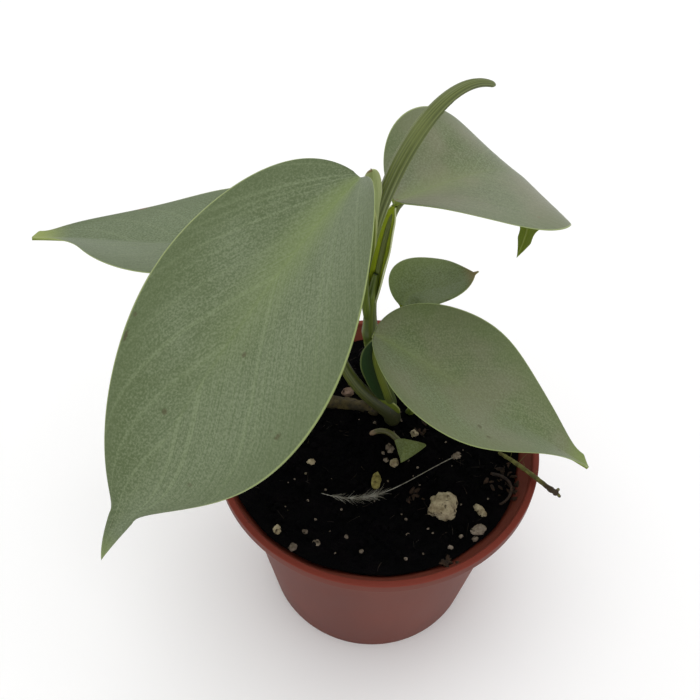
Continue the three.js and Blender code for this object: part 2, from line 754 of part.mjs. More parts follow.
function boxesTouch(a, b) {
  return [0, 1, 2].every((k) => a.min[k] <= b.max[k] && b.min[k] <= a.max[k]);
}

function buildPlant() {
  const group = new THREE.Group();
  const grown = [];
  for (const piece of pieces) {
    let solid = piece.build(0);
    const inPot = piece.name === "nursery_pot";
    for (const other of grown) {
      if (!inPot && boxesTouch(solid.boundingBox(), other.boundingBox())) {
        solid = solid.subtract(other);
      }
    }
    if (piece.name !== "potting_soil" && !inPot) {
      grown.push(piece.build(clearance));
    }
    const mesh = new THREE.Mesh(
      geometryFromSolid(solid),
      new THREE.MeshStandardMaterial({ ...piece.colours, side: THREE.FrontSide }),
    );
    mesh.name = piece.name;
    group.add(mesh);
  }
  return group;
}

export default buildPlant();
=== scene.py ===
import math
import random

import bmesh
import bpy
from mathutils import Matrix, Vector, noise


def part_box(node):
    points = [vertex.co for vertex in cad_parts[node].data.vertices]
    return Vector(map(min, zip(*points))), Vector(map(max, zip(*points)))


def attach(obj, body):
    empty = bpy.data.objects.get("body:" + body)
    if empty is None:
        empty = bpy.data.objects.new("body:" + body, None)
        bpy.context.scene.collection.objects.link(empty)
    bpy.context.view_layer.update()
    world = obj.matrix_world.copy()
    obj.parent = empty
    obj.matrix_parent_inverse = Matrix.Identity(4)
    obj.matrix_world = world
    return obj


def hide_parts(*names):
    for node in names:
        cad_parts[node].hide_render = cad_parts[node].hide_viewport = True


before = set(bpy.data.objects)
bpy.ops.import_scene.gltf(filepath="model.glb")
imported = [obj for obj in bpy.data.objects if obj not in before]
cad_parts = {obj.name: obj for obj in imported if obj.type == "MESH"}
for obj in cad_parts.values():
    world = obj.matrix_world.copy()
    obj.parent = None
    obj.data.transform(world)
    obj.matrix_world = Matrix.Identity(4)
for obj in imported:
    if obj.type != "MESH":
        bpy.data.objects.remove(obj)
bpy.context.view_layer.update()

noise.seed_set(3)  # without a seed, the bends of the hairs would change with the clock

mm = 0.001  # everything below is planned in millimetres and built in metres
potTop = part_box("nursery_pot")[1].z / mm
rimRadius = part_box("nursery_pot")[1].x / mm
soilBelowRim = 4.5
soilLevel = potTop - soilBelowRim
clearance = 0.3  # the gap that the planned pieces keep from each other

view = {
    "position": (-9.2, -149.2, 283.0),
    "elevation": 48.17,  # degrees above the horizon
    "roll": 1.21,
    "lens": 41.14,
    "sensor": 36.0,
}


def addCamera():
    lens = bpy.data.cameras.new("viewLens")
    lens.lens = view["lens"]
    lens.sensor_width = view["sensor"]
    camera = bpy.data.objects.new("viewCamera", lens)
    bpy.context.scene.collection.objects.link(camera)
    tilt = Matrix.Rotation(math.radians(90 - view["elevation"]), 4, "X")
    roll = Matrix.Rotation(math.radians(view["roll"]), 4, "Z")
    camera.matrix_world = Matrix.Translation(Vector(view["position"]) * mm) @ tilt @ roll
    bpy.context.scene.camera = camera
    print("camera placed")


studio = {
    "skyStrength": 0.86,
    "softboxes": [
        # place, aimed at, size, watts
        ((-0.2, 0.15, 2.4), (0, 0, 0.1), 1.3, 12),
        ((0.75, -0.25, 0.45), (0, 0, 0.1), 0.5, 0.3),
    ],
    "floorSize": 8.0,
    "floorColour": (1, 1, 1, 1),
}


def addStudio():
    world = bpy.data.worlds.new("studioSky")
    world.use_nodes = True
    sky = world.node_tree.nodes["Background"]
    sky.inputs["Color"].default_value = (1, 1, 1, 1)
    sky.inputs["Strength"].default_value = studio["skyStrength"]
    bpy.context.scene.world = world
    bpy.context.scene.view_settings.view_transform = "Standard"
    for count, (place, target, size, watts) in enumerate(studio["softboxes"]):
        lamp = bpy.data.lights.new(f"softbox{count}", "AREA")
        lamp.size = size
        lamp.energy = watts
        box = bpy.data.objects.new(f"softbox{count}", lamp)
        box.location = place
        box.rotation_euler = (Vector(target) - Vector(place)).to_track_quat("-Z", "Y").to_euler()
        bpy.context.scene.collection.objects.link(box)
    half = studio["floorSize"] / 2
    corners = [(-half, -half, 0), (half, -half, 0), (half, half, 0), (-half, half, 0)]
    mesh = bpy.data.meshes.new("floor")
    mesh.from_pydata(corners, [], [(0, 1, 2, 3)])
    floor = bpy.data.objects.new("floor", mesh)
    bpy.context.scene.collection.objects.link(floor)
    paper = Finish("floorPaper", {"Roughness": 0.9, "Base Color": studio["floorColour"]})
    mesh.materials.append(paper.material)
    print("studio lit")


class Knob:
    # one output socket of a node, so that sums of sockets read like sums of numbers

    def __init__(self, finish, socket):
        self.finish = finish
        self.socket = socket

    def maths(self, operation, first, second):
        return self.finish.node("Math", {"operation": operation}, {0: first, 1: second})

    def __add__(self, other):
        return self.maths("ADD", self, other)

    def __radd__(self, other):
        return self.maths("ADD", other, self)

    def __sub__(self, other):
        return self.maths("SUBTRACT", self, other)

    def __rsub__(self, other):
        return self.maths("SUBTRACT", other, self)

    def __mul__(self, other):
        return self.maths("MULTIPLY", self, other)

    def __rmul__(self, other):
        return self.maths("MULTIPLY", other, self)

    def __pow__(self, other):
        return self.maths("POWER", self, other)

    def __abs__(self):
        return self.maths("ABSOLUTE", self, 0)

    def __gt__(self, other):
        return self.maths("GREATER_THAN", self, other)


class Finish:
    # a material with one Principled shader, and short ways to add the nodes that vary it

    def __init__(self, name, constants):
        self.material = bpy.data.materials.new(name)
        self.material.use_nodes = True
        self.tree = self.material.node_tree
        self.shader = self.tree.nodes["Principled BSDF"]
        for socket, value in constants.items():
            self.shader.inputs[socket].default_value = value

    def node(self, kind, settings=None, sockets=None, out=0):
        made = self.tree.nodes.new("ShaderNode" + kind)
        for setting, value in (settings or {}).items():
            setattr(made, setting, value)
        for socket, value in (sockets or {}).items():
            self.feed(made.inputs[socket], value)
        return Knob(self, made.outputs[out])

    def feed(self, socket, value):
        if isinstance(value, Knob):
            self.tree.links.new(value.socket, socket)
        else:
            socket.default_value = value

    def place(self):
        return self.node("TexCoord", out="Object")

    def pattern(self):
        # how far across a piece and how far along it, each from 0 to 1
        pair = self.node("UVMap", {"uv_map": "pattern"})
        return [self.node("SeparateXYZ", {}, {0: pair}, out=axis) for axis in (0, 1)]

    def noise(self, scale, detail, roughness=0.5, at=None):
        sockets = {"Vector": at or self.place(), "Scale": scale, "Detail": detail, "Roughness": roughness}
        return self.node("TexNoise", {}, sockets)

    def streaks(self, along, detail):
        sockets = {"W": along, "Scale": 1.0, "Detail": detail}
        return self.node("TexNoise", {"noise_dimensions": "1D"}, sockets)

    def steps(self, value, low, high):
        # 0 at low and 1 at high, with a soft change between them
        sockets = {"Value": value, "From Min": low, "From Max": high}
        return self.node("MapRange", {"interpolation_type": "SMOOTHSTEP"}, sockets)

    def blend(self, share, first, second):
        sockets = {0: share, 6: first, 7: second}
        return self.node("Mix", {"data_type": "RGBA"}, sockets, out=2)

    def colour(self, value):
        self.feed(self.shader.inputs["Base Color"], value)

    def rough(self, value):
        self.feed(self.shader.inputs["Roughness"], value)

    def relief(self, height, depth, strength):
        sockets = {"Height": height, "Distance": depth * mm, "Strength": strength}
        self.feed(self.shader.inputs["Normal"], self.node("Bump", {}, sockets, out="Normal"))


def linear(level):
    return level / 12.92 if level <= 0.04 else ((level + 0.055) / 1.055) ** 2.4


def shade(red, green, blue):
    # a colour as seen on a screen, turned into the linear values that shaders take
    return (linear(red / 255), linear(green / 255), linear(blue / 255), 1.0)


def mix(a, b, t):
    return a + (b - a) * t


def clamp01(value):
    return min(1.0, max(0.0, value))


def bezierAt(points, t):
    row = [Vector(p) for p in points]
    while len(row) > 1:
        row = [a.lerp(b, t) for a, b in zip(row, row[1:])]
    return row[0]


def directionAt(points, t):
    step = 0.002
    return (bezierAt(points, min(1, t + step)) - bezierAt(points, max(0, t - step))).normalized()


weldDistance = 0.0002  # points closer than this become one


class Shell:
    # collects points, faces, their material numbers and the pattern coordinates of one piece

    def __init__(self):
        self.points = []
        self.faces = []
        self.numbers = []
        self.pattern = []

    def grid(self, rows, number=0, pattern=None, closed=False, flip=False):
        # joins rows of points into faces; pattern gives a pair of coordinates for each row and column
        start = len(self.points)
        width = len(rows[0])
        for row in rows:
            self.points += row
        across = width if closed else width - 1
        for i in range(len(rows) - 1):
            for j in range(across):
                k = (j + 1) % width
                corners = [(i, j, j), (i, k, j + 1), (i + 1, k, j + 1), (i + 1, j, j)]
                if flip:
                    corners.reverse()
                self.faces.append([start + a * width + b for a, b, c in corners])
                self.numbers.append(number)
                self.pattern.append([pattern(a, c) if pattern else (0, 0) for a, b, c in corners])
        return start

    def fan(self, ring, centre, number=0, flip=False):
        hub = len(self.points)
        self.points.append(centre)
        for j, a in enumerate(ring):
            b = ring[(j + 1) % len(ring)]
            self.faces.append([b, a, hub] if flip else [a, b, hub])
            self.numbers.append(number)
            self.pattern.append([(0, 0)] * 3)

    def piece(self, name, finishes, nodes):
        mesh = bpy.data.meshes.new(name)
        mesh.from_pydata([p * mm for p in self.points], [], self.faces)
        layer = mesh.uv_layers.new(name="pattern")
        for face, number, corners in zip(mesh.polygons, self.numbers, self.pattern):
            face.material_index = number
            face.use_smooth = True
            for loop, corner in zip(face.loop_indices, corners):
                layer.data[loop].uv = corner
        tidy = bmesh.new()
        tidy.from_mesh(mesh)
        bmesh.ops.remove_doubles(tidy, verts=tidy.verts, dist=weldDistance * mm)
        bmesh.ops.recalc_face_normals(tidy, faces=tidy.faces)
        tidy.to_mesh(mesh)
        tidy.free()
        for finish in finishes:
            mesh.materials.append(finish.material)
        made = bpy.data.objects.new(name, mesh)
        bpy.context.scene.collection.objects.link(made)
        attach(made, "root")
        if nodes:
            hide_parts(*nodes)
        return made


def steadyFrames(points, steps):
    # centre, direction and two cross directions that don't twist along a curve
    frames = []
    side = None
    for i in range(steps + 1):
        t = i / steps
        along = directionAt(points, t)
        if side is None:
            side = along.orthogonal().normalized()
        side = (side - along * side.dot(along)).normalized()
        frames.append((t, bezierAt(points, t), side, along.cross(side)))
    return frames


def addTube(shell, points, radiusAt, steps, sides, number=0):
    # radiusAt takes the share of the length and the angle round the tube
    rows = []
    for t, centre, side, other in steadyFrames(points, steps):
        row = []
        for j in range(sides):
            angle = 2 * math.pi * j / sides
            reach = radiusAt(t, angle)
            row.append(centre + side * math.cos(angle) * reach + other * math.sin(angle) * reach)
        rows.append(row)
    start = shell.grid(rows, number, lambda i, j: (j / sides, i / steps), closed=True)
    last = start + steps * sides
    shell.fan(range(start, start + sides), sum(rows[0], Vector()) / sides, number, flip=True)
    shell.fan(range(last, last + sides), sum(rows[-1], Vector()) / sides, number)


def roundEnds(t, share):
    # shrinks a tube to a rounded point over this share of its length at each end
    return math.sqrt(clamp01((t + 0.004) / share)) * math.sqrt(clamp01((1.004 - t) / share))


pot = {
    "baseRadius": 37,
    "bodyTopRadius": 46,
    "bandHeight": 4,
    "lipWidth": 2.1,
    "wall": 1.2,
    "floor": 1.8,
    "flareHeight": 5.5,
    "edgeRound": 0.6,
    "holeCount": 6,
    "holeRadius": 3.5,
    "holeCircle": 24,
    "segments": 256,
    "floorRing": 4.5,  # width of the flat ring that the pot stands on, before its rounded edge
    "stepDown": 5.5,  # the faint moulded line lies this far below the band
    "stepHeight": 0.18,
}


arcSteps = 6


def softened(outline):
    # rounds each corner of an outline that names a radius, with a short arc of points
    points = []
    for i, (r, z, roundness) in enumerate(outline):
        here = Vector((r, z))
        if not roundness:
            points.append(here)
            continue
        before = Vector(outline[i - 1][:2])
        after = Vector(outline[i + 1][:2])
        enter = here + (before - here).normalized() * roundness
        leave = here + (after - here).normalized() * roundness
        for k in range(arcSteps + 1):
            points.append(bezierAt([enter, here, leave], k / arcSteps))
    return points


def bodyRadius(z):
    return mix(pot["baseRadius"], pot["bodyTopRadius"], z / (potTop - pot["bandHeight"]))


def innerWallRadius(z):
    flareFoot = potTop - pot["flareHeight"]
    slope = (pot["bodyTopRadius"] - pot["baseRadius"]) / (potTop - pot["bandHeight"])
    body = pot["baseRadius"] - pot["wall"] + slope * min(z, flareFoot)
    mouth = rimRadius - pot["lipWidth"]
    return mix(body, mouth, clamp01((z - flareFoot) / (pot["flareHeight"] - pot["edgeRound"])))


def potFinish():
    finish = Finish("terracottaPlastic", {"Specular IOR Level": 0.14})
    place = finish.place()
    height = finish.node("SeparateXYZ", {}, {0: place}, out=2)
    cloud = finish.noise(26.0, 3.0, 0.5)
    grain = finish.noise(2600.0, 2.0)
    drawn = finish.node("VectorMath", {"operation": "MULTIPLY"}, {0: place, 1: (8, 8, 1)})
    flow = finish.noise(9.0, 3.0, 0.6, drawn)  # faint streaks up the wall
    topPatchNoise = finish.noise(480.0, 4.0, 0.7)
    body = finish.blend(finish.steps(cloud, 0.35, 0.7), shade(93, 42, 31), shade(103, 48, 36))
    body = finish.blend(finish.steps(flow, 0.45, 0.7) * 0.3, body, shade(112, 58, 44))
    # painted highlight: the top of the lip is painted lighter and redder where the rim faces the light
    paintedRimTopLight = finish.steps(height, (potTop - 0.9) * mm, (potTop - 0.2) * mm)
    body = finish.blend(paintedRimTopLight * 0.75, body, shade(120, 49, 38))
    # darker brown patches, stronger towards the top of the wall
    darkPatchesNearTop = finish.steps(topPatchNoise, 0.62, 0.74) * finish.steps(height, (potTop - 14) * mm, (potTop - 1) * mm)
    body = finish.blend(darkPatchesNearTop * 0.4, body, shade(60, 38, 30))
    finish.colour(body)
    finish.rough(0.42 + cloud * 0.12 + grain * 0.06)
    finish.relief(grain * 0.3 + cloud, 0.12, 0.5)
    return finish


def cutDrainHoles(made):
    holes = bmesh.new()
    for i in range(pot["holeCount"]):
        angle = 2 * math.pi * i / pot["holeCount"]
        place = Vector((math.cos(angle), math.sin(angle), 0)) * pot["holeCircle"] * mm
        bmesh.ops.create_cone(
            holes,
            cap_ends=True,
            segments=48,
            radius1=pot["holeRadius"] * mm,
            radius2=pot["holeRadius"] * mm,
            depth=pot["floor"] * 4 * mm,
            matrix=Matrix.Translation(place),
        )
    cutter = bpy.data.meshes.new("holeCutter")
    holes.to_mesh(cutter)
    holes.free()
    cutters = bpy.data.objects.new("holeCutter", cutter)
    bpy.context.scene.collection.objects.link(cutters)
    cut = made.modifiers.new("drainHoles", "BOOLEAN")
    cut.operation = "DIFFERENCE"
    cut.object = cutters
    bpy.context.view_layer.update()
    evaluated = made.evaluated_get(bpy.context.evaluated_depsgraph_get())
    made.data = bpy.data.meshes.new_from_object(evaluated)
    made.modifiers.clear()
    bpy.data.objects.remove(cutters)


def buildPot():
    band = potTop - pot["bandHeight"]
    mouth = rimRadius - pot["lipWidth"]
    flareFoot = potTop - pot["flareHeight"]
    step = band - pot["stepDown"]
    outline = [
        (0, 0, 0),
        (pot["baseRadius"] - pot["floorRing"], 0, 0),
        (pot["baseRadius"], 0, 0.9),
        (bodyRadius(step - 0.6), step - 0.6, 0.2),
        (bodyRadius(step) + pot["stepHeight"], step, 0.2),
        (bodyRadius(band - 1.2) + pot["stepHeight"], band - 1.2, 0.8),
        (rimRadius - 0.6, band - 0.1, 0.3),
        (rimRadius, band + 0.5, 0.3),
        (rimRadius, potTop, 0.55),
        (mouth + 0.3, potTop, 0.5),
        (mouth - 0.2, potTop - 1.2, 0.5),
        (innerWallRadius(flareFoot), flareFoot, 1.2),
        (innerWallRadius(pot["floor"]), pot["floor"], 1.0),
        (0, pot["floor"], 0),
    ]
    profile = softened(outline)
    shell = Shell()
    segments = pot["segments"]
    turns = [2 * math.pi * j / segments for j in range(segments)]
    rows = [[Vector((p.x * math.cos(a), p.x * math.sin(a), p.y)) for a in turns] for p in profile]
    shell.grid(rows, closed=True)
    made = shell.piece("nurseryPot", [potFinish()], ["nursery_pot"])
    cutDrainHoles(made)
    for face in made.data.polygons:
        face.use_smooth = abs(face.normal.z) < 0.999
    made.data.set_sharp_from_angle(angle=math.radians(40))
    print("turned pot")


soil = {
    "dip": 0.8,
    "mound": 1.0,
    "moundRadius": 22,
    "stem": (6, 11),
    "bank": 3.1,  # how much higher the soil lies against the front left of the rim
    "bankTurn": -130,
    "bankStart": 0.45,
}


def soilHeight(x, y):
    fromStem = math.hypot(x - soil["stem"][0], y - soil["stem"][1]) / soil["moundRadius"]
    dips = math.sin(x * 0.31 + 1) * math.cos(y * 0.27 - 0.6) + math.sin((x + y) * 0.17)
    outwards = clamp01((math.hypot(x, y) / rimRadius - soil["bankStart"]) * 2)
    towards = 0.5 + 0.5 * math.cos(math.atan2(y, x) - math.radians(soil["bankTurn"]))
    bank = soil["bank"] * (outwards * towards) ** 2
    return soilLevel + soil["mound"] * math.exp(-fromStem * fromStem) + soil["dip"] * 0.5 * dips + bank


def onSoil(x, y, above=0.0):
    return Vector((x, y, soilHeight(x, y) + above))


def byRim(degrees, beyondRim, above=0.0):
    radius = rimRadius + beyondRim
    return onSoil(radius * math.cos(math.radians(degrees)), radius * math.sin(math.radians(degrees)), above)


def acrossSoil(degrees, share, above=0.0):
    return byRim(degrees, (share - 1) * rimRadius, above)


def aboveSoil(points):
    return [Vector((x, y, soilLevel + z)) for x, y, z in points]


leafLook = {
    "green": shade(90, 106, 60),
    "silver": shade(115, 128, 90),
    "rib": shade(128, 144, 84),
    "edge": shade(146, 160, 100),
    "tip": shade(120, 138, 62),
    "speck": shade(70, 62, 34),
    "silverShare": 0.55,  # how much of the blade is silvery
    "sideLightLean": 0.25,  # and how much more of it lies on the right half (the left half when below 0): painted light, lighter on the half that faces the light
    "ribWidth": 0.2,
    "ribStrength": 0.75,
    "ribFade": 0.75,  # share of the length over which the midrib's pale band fades
    "veins": 0.35,
    "veinDark": shade(78, 96, 56),
    "veinPale": shade(128, 142, 104),
    "bloom": shade(138, 148, 118),  # the waxy grain over the blade
    "pore": shade(70, 84, 50),
    "paintedSheen": 0.0,  # how much of a painted brown-grey sheen, a painted reflection, lies over the blade
    "paintedSheenShade": shade(128, 124, 104),
    "scars": [],  # side, place along the blade, size, strength
}


def leafTop(name, look):
    look = {**leafLook, **look}
    finish = Finish(name, {"Specular IOR Level": 0.35, "Sheen Weight": 0.12, "Sheen Roughness": 0.4})
    across, along = finish.pattern()
    side = across * 2 - 1
    reach = abs(side)
    wobble = finish.noise(120.0, 2.0)
    slant = reach * blade["veinSlant"]
    veinPlace = along - slant + (wobble - 0.5) * 0.012 + (side > 0) * 7.3
    fine = finish.streaks(veinPlace * 120, 2.0)
    broad = finish.streaks(veinPlace * 26, 1.0)
    grain = finish.noise(1900.0, 3.0, 0.6)
    patch = finish.noise(38.0, 3.0, 0.55)
    # painted light: the lean tilts the silver towards one half of the blade, lighter on the half that faces
    # the light
    silver = finish.steps(patch + side * look["sideLightLean"] + (look["silverShare"] - 0.5), 0.3, 0.72)
    body = finish.blend(silver, look["green"], look["silver"])
    body = finish.blend(finish.steps(fine, 0.42, 0.64) * look["veins"], body, look["veinDark"])
    body = finish.blend(finish.steps(broad, 0.5, 0.75) * look["veins"] * 0.7, body, look["veinPale"])
    body = finish.blend(finish.steps(grain, 0.38, 0.72) * 0.4, body, look["bloom"])
    body = finish.blend(finish.steps(grain, 0.58, 0.3) * 0.34, body, look["pore"])
    # painted sheen: brown-grey patches painted over the blade in place of its reflection
    if look["paintedSheen"]:
        sheen = finish.steps(finish.noise(55.0, 2.0), 0.35, 0.65) * look["paintedSheen"]
        body = finish.blend(sheen, body, look["paintedSheenShade"])
    ribBand = finish.steps(reach, look["ribWidth"], 0.0) * finish.steps(along, look["ribFade"], 0.02)
    body = finish.blend(ribBand * (0.5 + 0.5 * fine) * look["ribStrength"], body, look["rib"])
    ribLine = finish.steps(reach, 0.03, 0.0) * finish.steps(along, 1.0, 0.1) * 0.2 * look["ribStrength"]
    body = finish.blend(ribLine, body, look["rib"])
    body = finish.blend(finish.steps(reach, 0.5, 1.0) * 0.5, body, look["green"])
    body = finish.blend(finish.steps(reach, 0.978, 0.992), body, look["edge"])
    body = finish.blend(finish.steps(along, 0.86, 1.0) * 0.8, body, look["tip"])
    spots = finish.node("TexVoronoi", {}, {"Vector": finish.place(), "Scale": 230.0, "Randomness": 1.0})
    spotSize = finish.noise(150.0, 1.0)
    specks = finish.steps(spots, 0.2, 0.1) * finish.steps(spotSize, 0.6, 0.68)
    body = finish.blend(specks * 0.6, body, look["speck"])
    for scarSide, scarAlong, size, strength in look["scars"]:
        away = ((side - scarSide) ** 2 + ((along - scarAlong) * 2.2) ** 2) ** 0.5 + (grain - 0.5) * size
        body = finish.blend(finish.steps(away, size, size * 0.35) * strength, body, look["speck"])
    finish.colour(body)
    finish.rough(0.5 + patch * 0.12 + (fine - 0.5) * 0.1)
    finish.relief(fine * 0.5 + broad * 0.6 + grain * 0.25, 0.16, 0.6)
    return finish


def leafUnder():
    finish = Finish("leafUnderside", {"Specular IOR Level": 0.3})
    across, along = finish.pattern()
    reach = abs(across * 2 - 1)
    fine = finish.streaks((along - reach * blade["veinSlant"]) * 110, 2.0)
    patch = finish.noise(60.0, 3.0)
    body = finish.blend(finish.steps(patch, 0.3, 0.7), shade(98, 116, 18), shade(116, 132, 26))
    body = finish.blend(finish.steps(fine, 0.45, 0.7) * 0.35, body, shade(126, 142, 40))
    body = finish.blend(finish.steps(reach, 0.16, 0.03), body, shade(134, 146, 66))
    body = finish.blend(finish.steps(reach, 0.97, 0.99), body, shade(150, 166, 96))
    finish.colour(body)
    finish.rough(0.5 + patch * 0.15)
    finish.relief(fine + patch * 0.5, 0.12, 0.6)
    return finish


def stalkFinish(name, pale, deep, footShadeOrTone, lines=16.0, wear=0.25, footEnd=0.3):
    # smooth green stalk with fine lines along it, taking the foot colour towards its foot: painted shade
    # near the soil on the stem and petioles, a real tone on the bract and the rolled leaf
    finish = Finish(name, {"Specular IOR Level": 0.45})
    across, along = finish.pattern()
    line = finish.streaks(across * lines, 3.0)
    patch = finish.noise(110.0, 3.0)
    grain = finish.noise(1400.0, 2.0)
    body = finish.blend(finish.steps(line, 0.4, 0.62), deep, pale)
    body = finish.blend(finish.steps(patch, 0.45, 0.8) * 0.5, body, pale)
    # painted shade on the stem and petioles; a real tone on the bract and the rolled leaf
    body = finish.blend(finish.steps(along, footEnd, footEnd * 0.2) * 0.9, body, footShadeOrTone)
    body = finish.blend(finish.steps(grain, 0.6, 0.75) * wear, body, shade(92, 78, 42))
    finish.colour(body)
    finish.rough(0.38 + patch * 0.2)
    finish.relief(line + grain * 0.2, 0.1, 0.5)
    return finish


def sheathFinish(name, inside, outside, margin, dryTip=0.0):
    finish = Finish(name, {"Specular IOR Level": 0.2})
    across, along = finish.pattern()
    reach = abs(across * 2 - 1)
    line = finish.streaks(across * 22, 2.0)
    patch = finish.noise(140.0, 2.0)
    body = finish.blend(finish.steps(reach, 0.2, 0.8), inside, outside)
    body = finish.blend(finish.steps(line, 0.4, 0.7) * 0.4, body, inside)
    body = finish.blend(finish.steps(reach + (patch - 0.5) * 0.12, 0.84, 0.95), body, margin)
    # painted shade: the sheath darkens towards its foot, where the leaves and stem shade it
    body = finish.blend(finish.steps(along, 0.3, 0.0) * 0.75, body, shade(44, 56, 28))
    if dryTip:
        corner = finish.steps(along - across * 0.03, 0.95, 0.975)
        body = finish.blend(corner * dryTip, body, shade(106, 82, 48))
    finish.colour(body)
    finish.rough(0.4 + patch * 0.2)
    finish.relief(line, 0.12, 0.7)
    return finish


blade = {
    "thickness": 0.75,
    "marginThickness": 0.42,
    "rows": 120,
    "columns": 44,
    "fullWidth": 28,  # a half width from which the midrib and veins have their full size
    "ribDepth": 1.25,  # how far the midrib stands out below
    "ribWidth": 1.1,
    "groove": 0.07,  # and how far it lies sunk above
    "veinRelief": 0.045,
    "veinCount": 46,
    "veinSlant": 0.42,
    "rowCrowding": 0.55,  # how far the rows crowd towards the base and tip
    "columnCrowding": 0.75,
    "marginPower": 14,  # high for a flat skin with a tight round edge
    "sheathWall": 0.55,
    "sheathSteps": 46,
    "sheathColumns": 26,
}

